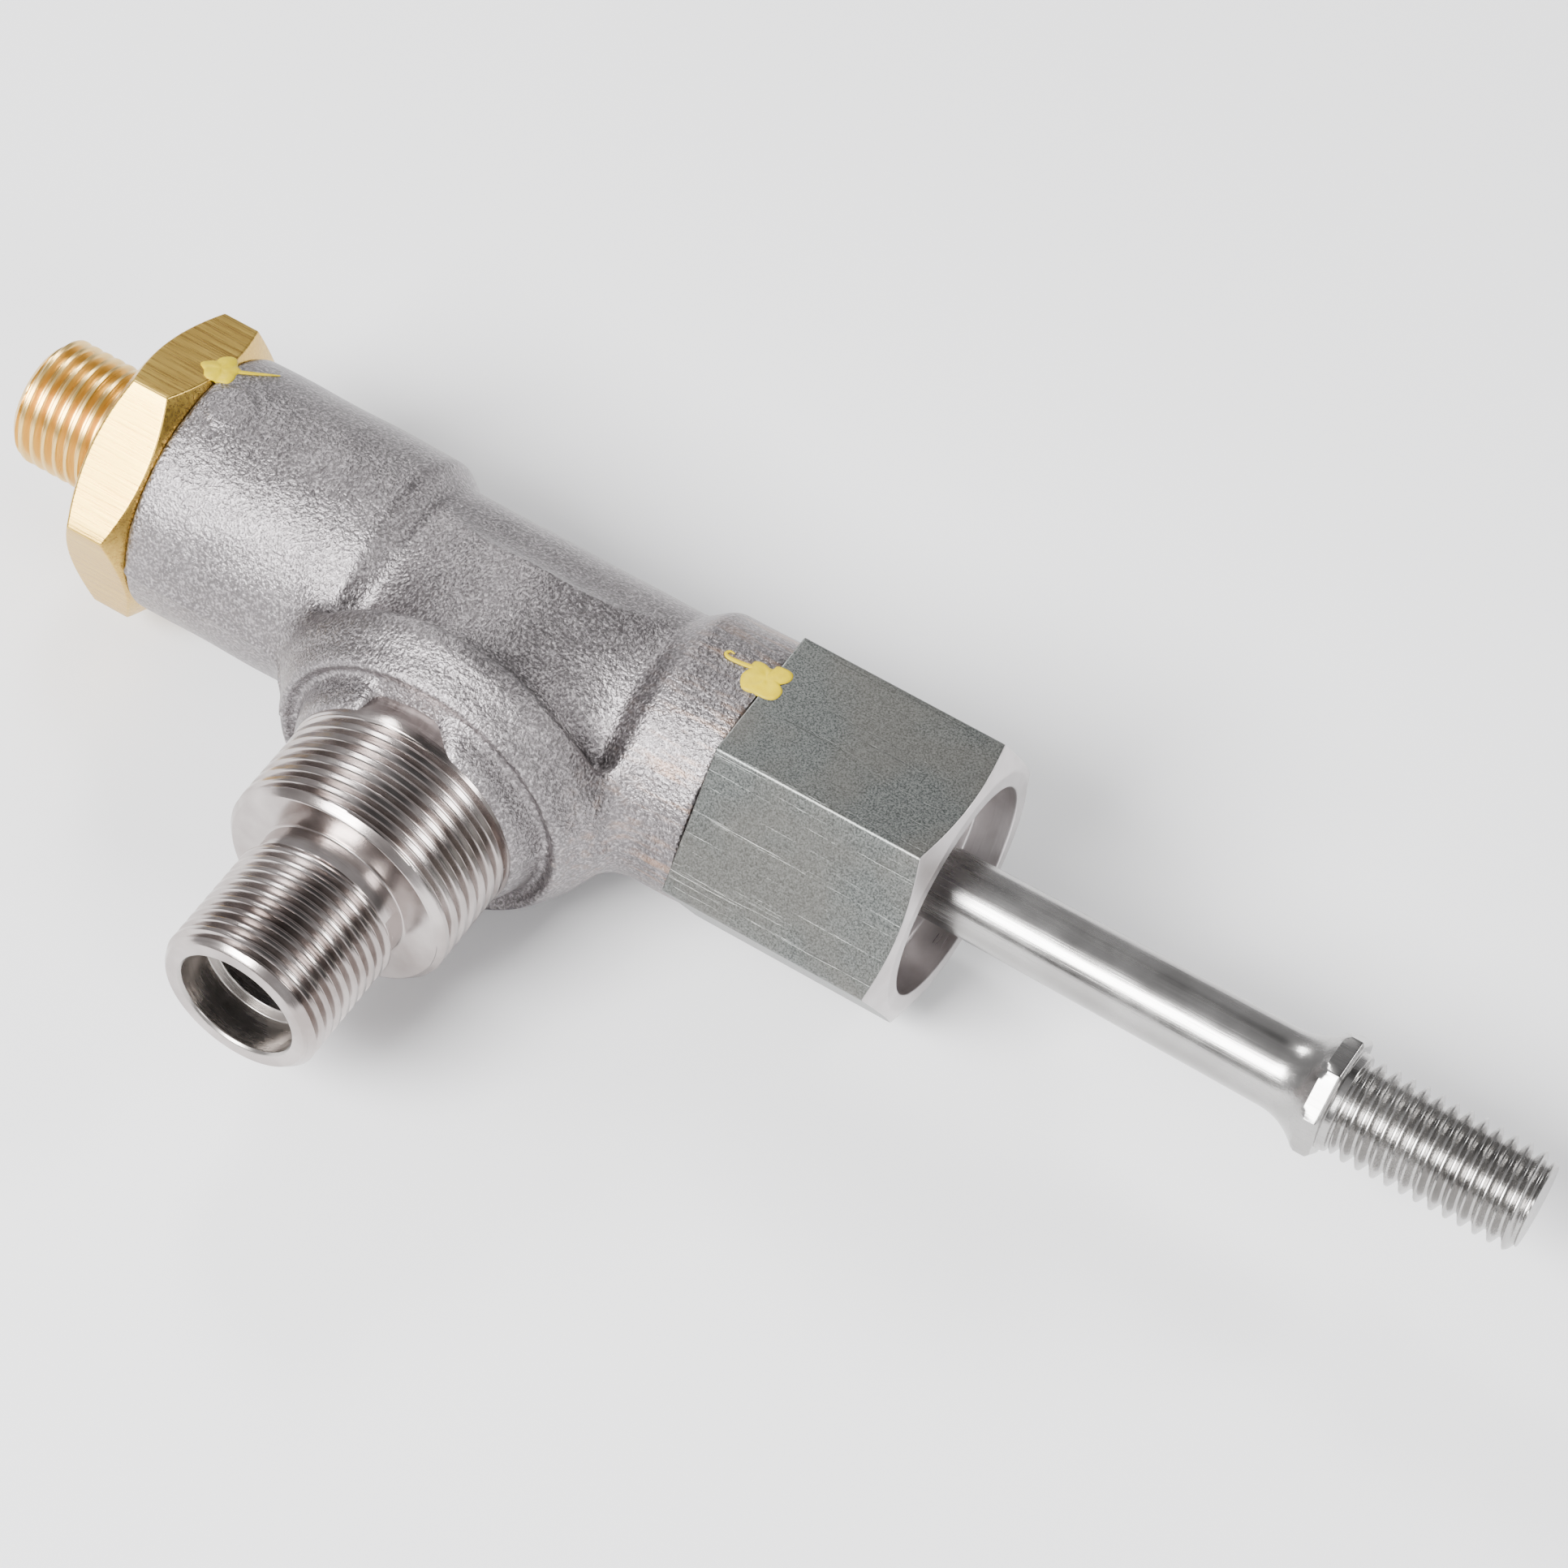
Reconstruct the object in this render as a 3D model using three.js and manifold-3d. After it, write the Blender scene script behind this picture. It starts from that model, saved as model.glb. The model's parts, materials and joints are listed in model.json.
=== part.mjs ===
// Pull-rod pressure relief valve: a cast body with a side port for the pressure line, a brass bypass
// fitting on its rear end, and a gland nut on its front end that guides the spindle.
// Pressure lifts the valve head off its seat towards the rear and draws the spindle in.
//
// Dimensions are in millimetres. The valve is modelled about the point where the port axis meets the
// main axis: +X runs along the main axis to the threaded end of the spindle, the port points along -Y,
// and Z = 0 is the casting's parting plane. The finished group is then moved so that its origin is the
// centre of the spindle's end face.
import * as THREE from "three";
import { mergeVertices } from "three/addons/utils/BufferGeometryUtils.js";
import Module from "manifold-3d";

const wasm = await Module();
wasm.setup();

// ---------------------------------------------------------------- driving dimensions

// Rounds are made of flat facets: how many, by size.
const LARGE_FACETS = 48;
const SMALL_FACETS = 28;
const RING_FACETS = 20;

// Threads: outer radius, root radius and pitch.
const BYPASS_THREAD = { crest: 6.58, root: 5.72, pitch: 1.337 }; // G1/4
const TIP_THREAD = { crest: 8.33, root: 7.47, pitch: 1.337 }; // G3/8
const PORT_THREAD = { crest: 12, root: 11.08, pitch: 1.5 }; // M24 x 1.5
const SPINDLE_THREAD = { crest: 4.93, root: 4.05, pitch: 1.5 }; // M10 x 1.5

// Casting, along the main axis.
const REAR_X = -37.2;
const REAR_RADIUS = 13.5;
const REAR_SHOULDER_X = [-15, -11.8];
const WAIST_RADIUS = 11.65;
const COLLAR_X = [13.9, 17.4];
const COLLAR_RADIUS = 13.5;
const FRONT_X = 24.7;

// Casting, along the port axis, as distances from the main axis.
const NECK_RADIUS = 13.4;
const FLANGE_RADIUS = 17.5;
const FLANGE_REACH = [12.9, 20];
const RAISED_RING_RADIUS = 13.9;
const RAISED_RING_REACH = 21.4;
const PORT_THREAD_REACH = [21.4, 32.7];
const TIP_THREAD_REACH = [34.8, 48.4];
const PORT_BORE_RADIUS = 5;
const MOUTH_RADIUS = 6.05;
const MOUTH_DEPTH = 5;

// Bores in the casting.
const SEAT_BORE_RADIUS = 9;
const SEAT_SHOULDER_X = -14.6;
const CHAMBER_RADIUS = 5.8;
const PACKING_BORE_RADIUS = 6.8;
const PACKING_BORE_X = [6, 14.2];
const GLAND_BORE_RADIUS = 8.7;

// Hexagons: both are 27 mm across the flats.
const HEX_CORNER_RADIUS = 13.5 / Math.cos(Math.PI / 6);

// Gland nut.
const NUT_X = [25, 47.8];
const NUT_FACE_RADIUS = 12.7;
const NUT_CHAMFER_SLOPE = 0.404;
const RECESS_RADIUS = 10.9;
const RECESS_FLOOR_X = 43.9;
const SPIGOT_RADIUS = 8.4;
const SPIGOT_X = 14.4;
const NUT_BORE_RADIUS = 4.2;
const LIP_SEAL_POCKET = { end: 19.3, radius: 6.5 };
const BUSH_BORE = { end: 38, radius: 5.6 };
const WIPER_POCKET = { start: 40.5, radius: 6.5 };
const GLAND_GROOVE = { x: [22.4, 24.6], radius: 6.8 };

// Bypass fitting.
const FITTING_HEX_X = [-44.3, -37.5];
const FITTING_HEX_TURN = THREE.MathUtils.degToRad(104);
const FITTING_FACE_RADIUS = 13.1;
const FITTING_CHAMFER = THREE.MathUtils.degToRad(30);
const FITTING_TIP_X = -56.4;
const FITTING_SPIGOT_X = -28;
const FITTING_SPIGOT_RADIUS = 8.7;
const FITTING_BORE_RADIUS = 3.8;
const FITTING_GROOVE = { x: [-36.7, -34.3], radius: 6.9 };
const SPRING_POCKET_RADIUS = 6.5;
const SPRING_POCKET_X = -33;

// Seat ring: from its lip, which faces the head, to the shoulder it rests on.
const SEAT_X = [-18.9, -14.9];
const SEAT_INNER_RADIUS = 5.5;
const SEAT_OUTER_RADIUS = 8.7;
const SEAT_LIP = { end: -18.3, tipRadius: 6, rootRadius: 6.4 };
const SEAT_GROOVE = { x: [-17.6, -15.7], radius: 7.1 };

// Valve head, the hexagonal nut that holds it, and the closing spring behind it.
const HEAD_X = [-23.5, -20.2];
const HEAD_BACK_RADIUS = 6.2;
const HEAD_RIM_RADIUS = 6.7;
const HEAD_BORE_RADIUS = 2.7;
const SEAL_POCKET = { bottom: -21.1, radius: 6.3 };
const LOCK_NUT_X = [-27.5, -23.8];
const LOCK_NUT_CORNER_RADIUS = 4.62;
const SPRING = { x: [-32.2, -25.4], coilRadius: 5.62, wireRadius: 0.45, turns: 3.75 };

// Spindle.
const SPINDLE_RADIUS = 3.7;
const SPINDLE_SHOULDER_X = -17.8;
const STUB_RADIUS = 2.4;
const STUB_X = -28.3;
const FLARE_X = 82;
const FLARE_RADIUS = 4.02;
const FLARE_END_RADIUS = 5.8;
const FLARE_CURVE = 2.4;
const OCTAGON_X = [86.6, 88.4];
const OCTAGON_CORNER_RADIUS = 6.36;
const OCTAGON_TURN = THREE.MathUtils.degToRad(17.7);
const SPINDLE_END_X = 108.5;

// Rings of rectangular section about the main axis. Those round the spindle share one bore.
const RING_BORE_RADIUS = 4.05;
const RINGS = {
  seat_spacer: { x: [-27.7, -19.2], inner: 7.5, outer: 8.7, facets: SMALL_FACETS },
  spring_cap: { x: [-24.6, -23.8], inner: 4.95, outer: 6.2 },
  head_seal: { x: [-20.8, -19.3], inner: HEAD_BORE_RADIUS, outer: 6 },
  seal_clamp_washer: { x: [-19, -18.1], inner: HEAD_BORE_RADIUS, outer: 4.9 },
  inner_guide_bush: { x: [6.3, 8.8], inner: RING_BORE_RADIUS, outer: 6.5 },
  inner_backup_ring: { x: [9.1, 10.1], inner: RING_BORE_RADIUS, outer: 6.5 },
  outer_backup_ring: { x: [13.1, 14.1], inner: RING_BORE_RADIUS, outer: 6.5 },
  gland_bush: { x: [19.6, 37.7], inner: RING_BORE_RADIUS, outer: 5.3 },
};

// O-rings about the main axis: radius to the middle of the section, and radius of the section.
const O_RINGS = {
  fitting_o_ring: { x: -35.5, middle: 7.78, section: 0.62 },
  seat_o_ring: { x: -16.65, middle: 8.04, section: 0.6 },
  spindle_o_ring: { x: 11.6, middle: 5.27, section: 1.15 },
  gland_o_ring: { x: 23.5, middle: 7.7, section: 0.65 },
};

// Lip seal and wiper.
const LIP_SEAL_X = [14.7, 19];
const LIP_SEAL_RADIUS = 6.2;
const LIP_GROOVE = { bottom: 16.6, inner: 4.6, middle: 5.1, outer: 5.7 };
const WIPER_X = [40.8, 43.7];
const WIPER_RADIUS = 6.2;
const WIPER_LIP = { start: 43, rootRadius: 4.9, tipRadius: 4.4 };

// Dabs of sealing paint: middle, turn from +Y, half sizes, and the way that the tail points along X.
const PAINT_THICKNESS = 0.35;
const PAINT_INNER_RADIUS = 13.8;
const PAINT_DABS = {
  sealing_paint_rear: { x: -37.7, turnDegrees: 74, halfLength: 2, halfWidth: 2.1, tail: 1 },
  sealing_paint_front: { x: 24.4, turnDegrees: 90, halfLength: 2.5, halfWidth: 2, tail: -1 },
};

// ---------------------------------------------------------------- solids

// A three.js geometry as a solid that can be joined and cut.
function solid(geometry) {
  const bare = geometry.clone();
  bare.deleteAttribute("normal");
  bare.deleteAttribute("uv");
  const merged = mergeVertices(bare, 1e-4);
  return new wasm.Manifold(
    new wasm.Mesh({
      numProp: 3,
      vertProperties: merged.attributes.position.array,
      triVerts: new Uint32Array(merged.index.array),
    }),
  );
}

// A solid as a three.js geometry.
function geometryOf(made) {
  const mesh = made.getMesh();
  const geometry = new THREE.BufferGeometry();
  geometry.setAttribute("position", new THREE.BufferAttribute(mesh.vertProperties, mesh.numProp));
  geometry.setIndex(new THREE.BufferAttribute(mesh.triVerts, 1));
  geometry.computeVertexNormals();
  return geometry;
}

// Turns an outline of [distance along the axis, radius] points, listed so that the material is on the
// right of the path, about the axis. The outline starts and ends on the axis, or closes on itself.
function lathe(outline, facets) {
  const points = outline.map(([along, radius]) => new THREE.Vector2(radius, along));
  return new THREE.LatheGeometry(points, facets);
}

// Turned about the main axis: distances run along +X.
function alongMain(outline, facets) {
  return lathe(outline, facets).rotateZ(-Math.PI / 2);
}

// Turned about the port axis: distances run along -Y.
function alongPort(outline, facets) {
  return lathe(outline, facets).rotateX(Math.PI);
}

// A plain ring about the main axis.
function ring({ x, inner, outer, facets = RING_FACETS }) {
  const [fromX, toX] = x;
  const outline = [
    [fromX, inner],
    [fromX, outer],
    [toX, outer],
    [toX, inner],
    [fromX, inner],
  ];
  return alongMain(outline, facets);
}

// A round-section ring, such as an O-ring, about the main axis.
function roundRing({ x, middle, section }) {
  return new THREE.TorusGeometry(middle, section, 6, RING_FACETS)
    .rotateY(Math.PI / 2)
    .translate(x, 0, 0);
}

// A plain round bar about the main axis.
function bar(fromX, toX, radius, facets = SMALL_FACETS) {
  return new THREE.CylinderGeometry(radius, radius, toX - fromX, facets)
    .rotateZ(-Math.PI / 2)
    .translate((fromX + toX) / 2, 0, 0);
}

// A prism about the main axis, with its first corner at the given turn from +Y towards +Z.
function prism(sides, cornerRadius, fromX, toX, turn) {
  const shape = new THREE.Shape();
  for (let corner = 0; corner < sides; corner++) {
    const angle = turn + (corner * 2 * Math.PI) / sides;
    shape.lineTo(cornerRadius * Math.cos(angle), cornerRadius * Math.sin(angle));
  }
  shape.curves.shift();
  shape.closePath();
  return new THREE.ExtrudeGeometry(shape, { depth: toX - fromX, bevelEnabled: false })
    .applyMatrix4(new THREE.Matrix4().set(0, 0, 1, fromX, 1, 0, 0, 0, 0, 1, 0, 0, 0, 0, 0, 1));
}

// The crests and roots of a thread as ridges round the axis, from one distance to another.
function threadOutline({ crest, root, pitch }, from, to) {
  const points = [[from, root]];
  const count = Math.floor((to - from) / pitch);
  for (let ridge = 0; ridge < count; ridge++) {
    const start = from + ridge * pitch;
    points.push([start + pitch / 2, crest], [start + pitch, root]);
  }
  return points;
}

// ---------------------------------------------------------------- valve body

function mainCasting() {
  return solid(
    alongMain(
      [
        [REAR_X, 0],
        [REAR_X, REAR_RADIUS - 0.4],
        [REAR_X + 0.4, REAR_RADIUS],
        [REAR_SHOULDER_X[0] - 0.8, REAR_RADIUS],
        [REAR_SHOULDER_X[0] + 0.4, REAR_RADIUS - 0.5],
        [REAR_SHOULDER_X[1], WAIST_RADIUS],
        [COLLAR_X[0], WAIST_RADIUS],
        [COLLAR_X[0] + 1.6, COLLAR_RADIUS - 0.7],
        [COLLAR_X[1], COLLAR_RADIUS],
        [FRONT_X, COLLAR_RADIUS],
        [FRONT_X, 0],
      ],
      LARGE_FACETS,
    ),
  );
}

// Neck, flange and the raised ring round the root of the port thread.
function portBoss() {
  const [flangeBack, flangeFace] = FLANGE_REACH;
  return solid(
    alongPort(
      [
        [0, 0],
        [0, WAIST_RADIUS - 1],
        [6, WAIST_RADIUS - 1],
        [9, NECK_RADIUS],
        [flangeBack - 1.5, NECK_RADIUS + 0.6],
        [flangeBack, FLANGE_RADIUS - 0.9],
        [flangeBack + 0.9, FLANGE_RADIUS],
        [flangeFace - 2.6, FLANGE_RADIUS],
        [flangeFace - 0.7, FLANGE_RADIUS - 0.9],
        [flangeFace, FLANGE_RADIUS - 2.4],
        [flangeFace, RAISED_RING_RADIUS + 0.7],
        [RAISED_RING_REACH, RAISED_RING_RADIUS],
        [RAISED_RING_REACH, 0],
      ],
      LARGE_FACETS,
    ),
  );
}

// The threaded nipple: the large thread next to the flange and the small one at the tip.
function portNipple() {
  const [portStart, portEnd] = PORT_THREAD_REACH;
  const [tipStart, tipEnd] = TIP_THREAD_REACH;
  return solid(
    alongPort(
      [
        [portStart - 1, 0],
        [portStart - 1, PORT_THREAD.root],
        ...threadOutline(PORT_THREAD, portStart, portEnd - 0.8),
        [portEnd, PORT_THREAD.root - 0.2],
        [portEnd, TIP_THREAD.root + 0.2],
        ...threadOutline(TIP_THREAD, tipStart, tipEnd - 0.9),
        [tipEnd, TIP_THREAD.root + 0.3],
        [tipEnd, 0],
      ],
      SMALL_FACETS,
    ),
  );
}

function mainBore() {
  return solid(
    alongMain(
      [
        [REAR_X - 1, 0],
        [REAR_X - 1, SEAT_BORE_RADIUS],
        [SEAT_SHOULDER_X, SEAT_BORE_RADIUS],
        [SEAT_SHOULDER_X, CHAMBER_RADIUS],
        [PACKING_BORE_X[0], CHAMBER_RADIUS],
        [PACKING_BORE_X[0], PACKING_BORE_RADIUS],
        [PACKING_BORE_X[1], PACKING_BORE_RADIUS],
        [PACKING_BORE_X[1], GLAND_BORE_RADIUS],
        [FRONT_X + 1, GLAND_BORE_RADIUS],
        [FRONT_X + 1, 0],
      ],
      SMALL_FACETS,
    ),
  );
}

function portBore() {
  const tip = TIP_THREAD_REACH[1];
  return solid(
    alongPort(
      [
        [0, 0],
        [0, PORT_BORE_RADIUS],
        [tip - MOUTH_DEPTH, PORT_BORE_RADIUS],
        [tip - MOUTH_DEPTH, MOUTH_RADIUS],
        [tip + 1, MOUTH_RADIUS],
        [tip + 1, 0],
      ],
      SMALL_FACETS,
    ),
  );
}

// The round flat left on top of the rear barrel by the mould.
function mouldPad() {
  return solid(
    new THREE.CylinderGeometry(2.4, 2.4, 2, RING_FACETS)
      .rotateX(Math.PI / 2)
      .translate(-34.3, 0, REAR_RADIUS - 0.85),
  );
}

function valveBody() {
  const casting = mainCasting().add(portBoss()).add(portNipple()).add(mouldPad());
  return geometryOf(casting.subtract(mainBore()).subtract(portBore()));
}

// ---------------------------------------------------------------- gland nut and its seals

function glandNut() {
  const [back, face] = NUT_X;
  const flareRadius = HEX_CORNER_RADIUS + 0.5;
  const chamferBack = face - (flareRadius - NUT_FACE_RADIUS) * NUT_CHAMFER_SLOPE;
  const envelope = solid(
    alongMain(
      [
        [back, 0],
        [back, flareRadius],
        [chamferBack, flareRadius],
        [face, NUT_FACE_RADIUS],
        [face, 0],
      ],
      LARGE_FACETS,
    ),
  );
  const hexagon = solid(prism(6, HEX_CORNER_RADIUS, back, face, 0)).intersect(envelope);
  const spigot = solid(
    alongMain(
      [
        [SPIGOT_X, 0],
        [SPIGOT_X, SPIGOT_RADIUS - 0.6],
        [SPIGOT_X + 0.6, SPIGOT_RADIUS],
        [GLAND_GROOVE.x[0], SPIGOT_RADIUS],
        [GLAND_GROOVE.x[0], GLAND_GROOVE.radius],
        [GLAND_GROOVE.x[1], GLAND_GROOVE.radius],
        [GLAND_GROOVE.x[1], SPIGOT_RADIUS],
        [back + 1, SPIGOT_RADIUS],
        [back + 1, 0],
      ],
      SMALL_FACETS,
    ),
  );
  const bore = solid(
    alongMain(
      [
        [SPIGOT_X - 1, 0],
        [SPIGOT_X - 1, LIP_SEAL_POCKET.radius],
        [LIP_SEAL_POCKET.end, LIP_SEAL_POCKET.radius],
        [LIP_SEAL_POCKET.end, BUSH_BORE.radius],
        [BUSH_BORE.end, BUSH_BORE.radius],
        [BUSH_BORE.end, NUT_BORE_RADIUS],
        [WIPER_POCKET.start, NUT_BORE_RADIUS],
        [WIPER_POCKET.start, WIPER_POCKET.radius],
        [RECESS_FLOOR_X, WIPER_POCKET.radius],
        [RECESS_FLOOR_X, RECESS_RADIUS],
        [face + 1, RECESS_RADIUS],
        [face + 1, 0],
      ],
      LARGE_FACETS,
    ),
  );
  return geometryOf(hexagon.add(spigot).subtract(bore));
}

// A lip seal: a ring with a V groove that opens towards the pressure.
function lipSeal() {
  const [open, back] = LIP_SEAL_X;
  return alongMain(
    [
      [open, RING_BORE_RADIUS],
      [open, LIP_GROOVE.inner],
      [LIP_GROOVE.bottom, LIP_GROOVE.middle],
      [open, LIP_GROOVE.outer],
      [open, LIP_SEAL_RADIUS],
      [back, LIP_SEAL_RADIUS],
      [back, RING_BORE_RADIUS],
      [open, RING_BORE_RADIUS],
    ],
    RING_FACETS,
  );
}

// A wiper: a ring with a thin lip that scrapes the spindle where it comes in.
function wiperRing() {
  const [back, lipTip] = WIPER_X;
  return alongMain(
    [
      [back, RING_BORE_RADIUS],
      [back, WIPER_RADIUS],
      [WIPER_LIP.start, WIPER_RADIUS],
      [WIPER_LIP.start, WIPER_LIP.rootRadius],
      [lipTip, WIPER_LIP.tipRadius],
      [lipTip, RING_BORE_RADIUS],
      [back, RING_BORE_RADIUS],
    ],
    RING_FACETS,
  );
}

// ---------------------------------------------------------------- bypass fitting

function bypassFitting() {
  const [rear, front] = FITTING_HEX_X;
  const flareRadius = HEX_CORNER_RADIUS + 0.5;
  const chamfer = (flareRadius - FITTING_FACE_RADIUS) * Math.tan(FITTING_CHAMFER);
  const envelope = solid(
    alongMain(
      [
        [rear, 0],
        [rear, FITTING_FACE_RADIUS],
        [rear + chamfer, flareRadius],
        [front - chamfer, flareRadius],
        [front, FITTING_FACE_RADIUS],
        [front, 0],
      ],
      LARGE_FACETS,
    ),
  );
  const nutShape = prism(6, HEX_CORNER_RADIUS, rear, front, FITTING_HEX_TURN);
  const hexagon = solid(nutShape).intersect(envelope);
  const threadedTail = solid(
    alongMain(
      [
        [FITTING_TIP_X, 0],
        [FITTING_TIP_X, BYPASS_THREAD.root - 0.2],
        ...threadOutline(BYPASS_THREAD, FITTING_TIP_X + 0.6, rear - 0.8),
        [rear + 1, BYPASS_THREAD.root],
        [rear + 1, 0],
      ],
      SMALL_FACETS,
    ),
  );
  const spigot = solid(
    alongMain(
      [
        [front - 1, 0],
        [front - 1, FITTING_SPIGOT_RADIUS],
        [FITTING_GROOVE.x[0], FITTING_SPIGOT_RADIUS],
        [FITTING_GROOVE.x[0], FITTING_GROOVE.radius],
        [FITTING_GROOVE.x[1], FITTING_GROOVE.radius],
        [FITTING_GROOVE.x[1], FITTING_SPIGOT_RADIUS],
        [FITTING_SPIGOT_X - 0.6, FITTING_SPIGOT_RADIUS],
        [FITTING_SPIGOT_X, FITTING_SPIGOT_RADIUS - 0.6],
        [FITTING_SPIGOT_X, 0],
      ],
      SMALL_FACETS,
    ),
  );
  const bore = solid(
    alongMain(
      [
        [FITTING_TIP_X - 1, 0],
        [FITTING_TIP_X - 1, FITTING_BORE_RADIUS],
        [SPRING_POCKET_X, FITTING_BORE_RADIUS],
        [SPRING_POCKET_X, SPRING_POCKET_RADIUS],
        [FITTING_SPIGOT_X + 1, SPRING_POCKET_RADIUS],
        [FITTING_SPIGOT_X + 1, 0],
      ],
      SMALL_FACETS,
    ),
  );
  return geometryOf(hexagon.add(threadedTail).add(spigot).subtract(bore));
}

// ---------------------------------------------------------------- seat and valve head

// The seat ring: a raised lip faces the head, and a groove on the outside holds its O-ring.
function valveSeat() {
  const [lipTip, front] = SEAT_X;
  return alongMain(
    [
      [lipTip, SEAT_INNER_RADIUS],
      [lipTip, SEAT_LIP.tipRadius],
      [SEAT_LIP.end, SEAT_LIP.rootRadius],
      [SEAT_LIP.end, SEAT_OUTER_RADIUS],
      [SEAT_GROOVE.x[0], SEAT_OUTER_RADIUS],
      [SEAT_GROOVE.x[0], SEAT_GROOVE.radius],
      [SEAT_GROOVE.x[1], SEAT_GROOVE.radius],
      [SEAT_GROOVE.x[1], SEAT_OUTER_RADIUS],
      [front, SEAT_OUTER_RADIUS],
      [front, SEAT_INNER_RADIUS],
      [lipTip, SEAT_INNER_RADIUS],
    ],
    SMALL_FACETS,
  );
}

// The head: a disc with a rim that holds the soft seal.
function valveHead() {
  const [back, rim] = HEAD_X;
  return alongMain(
    [
      [back, HEAD_BORE_RADIUS],
      [back, HEAD_BACK_RADIUS],
      [rim, HEAD_RIM_RADIUS],
      [rim, SEAL_POCKET.radius],
      [SEAL_POCKET.bottom, SEAL_POCKET.radius],
      [SEAL_POCKET.bottom, HEAD_BORE_RADIUS],
      [back, HEAD_BORE_RADIUS],
    ],
    SMALL_FACETS,
  );
}

function headLockNut() {
  const [fromX, toX] = LOCK_NUT_X;
  const hexagon = solid(prism(6, LOCK_NUT_CORNER_RADIUS, fromX, toX, 0));
  const bore = solid(bar(fromX - 1, toX + 1, HEAD_BORE_RADIUS, RING_FACETS));
  return geometryOf(hexagon.subtract(bore));
}

// The coil spring between the fitting and the spring cap, wound closer at its ends.
function closingSpring() {
  const { x, coilRadius, wireRadius, turns } = SPRING;
  const steps = 60;
  const points = [];
  for (let step = 0; step <= steps; step++) {
    const share = step / steps;
    const angle = share * turns * 2 * Math.PI;
    const advance = share - (0.5 * Math.sin(2 * Math.PI * share)) / (2 * Math.PI);
    const along = THREE.MathUtils.lerp(x[0], x[1], advance);
    points.push(new THREE.Vector3(along, coilRadius * Math.cos(angle), coilRadius * Math.sin(angle)));
  }
  const wire = new THREE.Shape().absarc(0, 0, wireRadius, 0, 2 * Math.PI);
  return new THREE.ExtrudeGeometry(wire, {
    steps,
    curveSegments: 3,
    extrudePath: new THREE.CatmullRomCurve3(points),
  });
}

// ---------------------------------------------------------------- spindle

// Stub for the head, long plain shank, flare, neck and the threaded end, with an octagonal collar.
function spindle() {
  const flareLength = OCTAGON_X[0] - FLARE_X;
  const flare = [];
  for (let step = 1; step <= 5; step++) {
    const share = step / 5;
    const radius = THREE.MathUtils.lerp(FLARE_RADIUS, FLARE_END_RADIUS, share ** FLARE_CURVE);
    flare.push([FLARE_X + share * flareLength, radius]);
  }
  const turned = solid(
    alongMain(
      [
        [STUB_X, 0],
        [STUB_X, STUB_RADIUS - 0.4],
        [STUB_X + 0.4, STUB_RADIUS],
        [SPINDLE_SHOULDER_X, STUB_RADIUS],
        [SPINDLE_SHOULDER_X, SPINDLE_RADIUS],
        [NUT_X[1], SPINDLE_RADIUS],
        [FLARE_X, FLARE_RADIUS],
        ...flare,
        [OCTAGON_X[1] - 0.3, FLARE_END_RADIUS - 0.4],
        [OCTAGON_X[1] - 0.3, SPINDLE_THREAD.root + 0.5],
        [OCTAGON_X[1] + 1.2, SPINDLE_THREAD.root + 0.4],
        ...threadOutline(SPINDLE_THREAD, OCTAGON_X[1] + 1.6, SPINDLE_END_X - 0.7),
        [SPINDLE_END_X, SPINDLE_THREAD.root - 0.1],
        [SPINDLE_END_X, 0],
      ],
      SMALL_FACETS,
    ),
  );
  const octagon = solid(prism(8, OCTAGON_CORNER_RADIUS, OCTAGON_X[0], OCTAGON_X[1], OCTAGON_TURN));
  return geometryOf(turned.add(octagon));
}

// ---------------------------------------------------------------- sealing paint

// A dab of lacquer laid across a joint: a wavy outline with a tail.
function paintDab({ x, turnDegrees, halfLength, halfWidth, tail }) {
  const points = [];
  const corners = 20;
  for (let corner = 0; corner < corners; corner++) {
    const angle = (corner * 2 * Math.PI) / corners;
    const wave = 1 + 0.12 * Math.sin(3 * angle + 1) + 0.07 * Math.sin(5 * angle);
    const along = halfLength * wave * Math.cos(angle);
    const isTail = corner === (tail > 0 ? 0 : corners / 2);
    points.push(new THREE.Vector2(isTail ? along * 2.1 : along, halfWidth * wave * Math.sin(angle)));
  }
  const turn = THREE.MathUtils.degToRad(turnDegrees - 90);
  const layer = { depth: PAINT_THICKNESS, bevelEnabled: false };
  return new THREE.ExtrudeGeometry(new THREE.Shape(points), layer)
    .translate(x, 0, PAINT_INNER_RADIUS)
    .rotateX(turn);
}

// ---------------------------------------------------------------- materials

const finish = (color, roughness, metalness) => ({ color, roughness, metalness });
const CAST = finish(0x9a9395, 0.48, 0.9);
const ZINC = finish(0x8c8f8c, 0.42, 0.9);
const BRASS = finish(0xd9a85a, 0.28, 1);
const STEEL = finish(0xb4b2ae, 0.22, 1);
const BRONZE = finish(0xa9783c, 0.4, 1);
const RUBBER = finish(0x1d1d1f, 0.75, 0);
const PTFE = finish(0xe9e7df, 0.55, 0);
const LACQUER = finish(0xf0dc1c, 0.35, 0);

// ---------------------------------------------------------------- assembly

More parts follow.
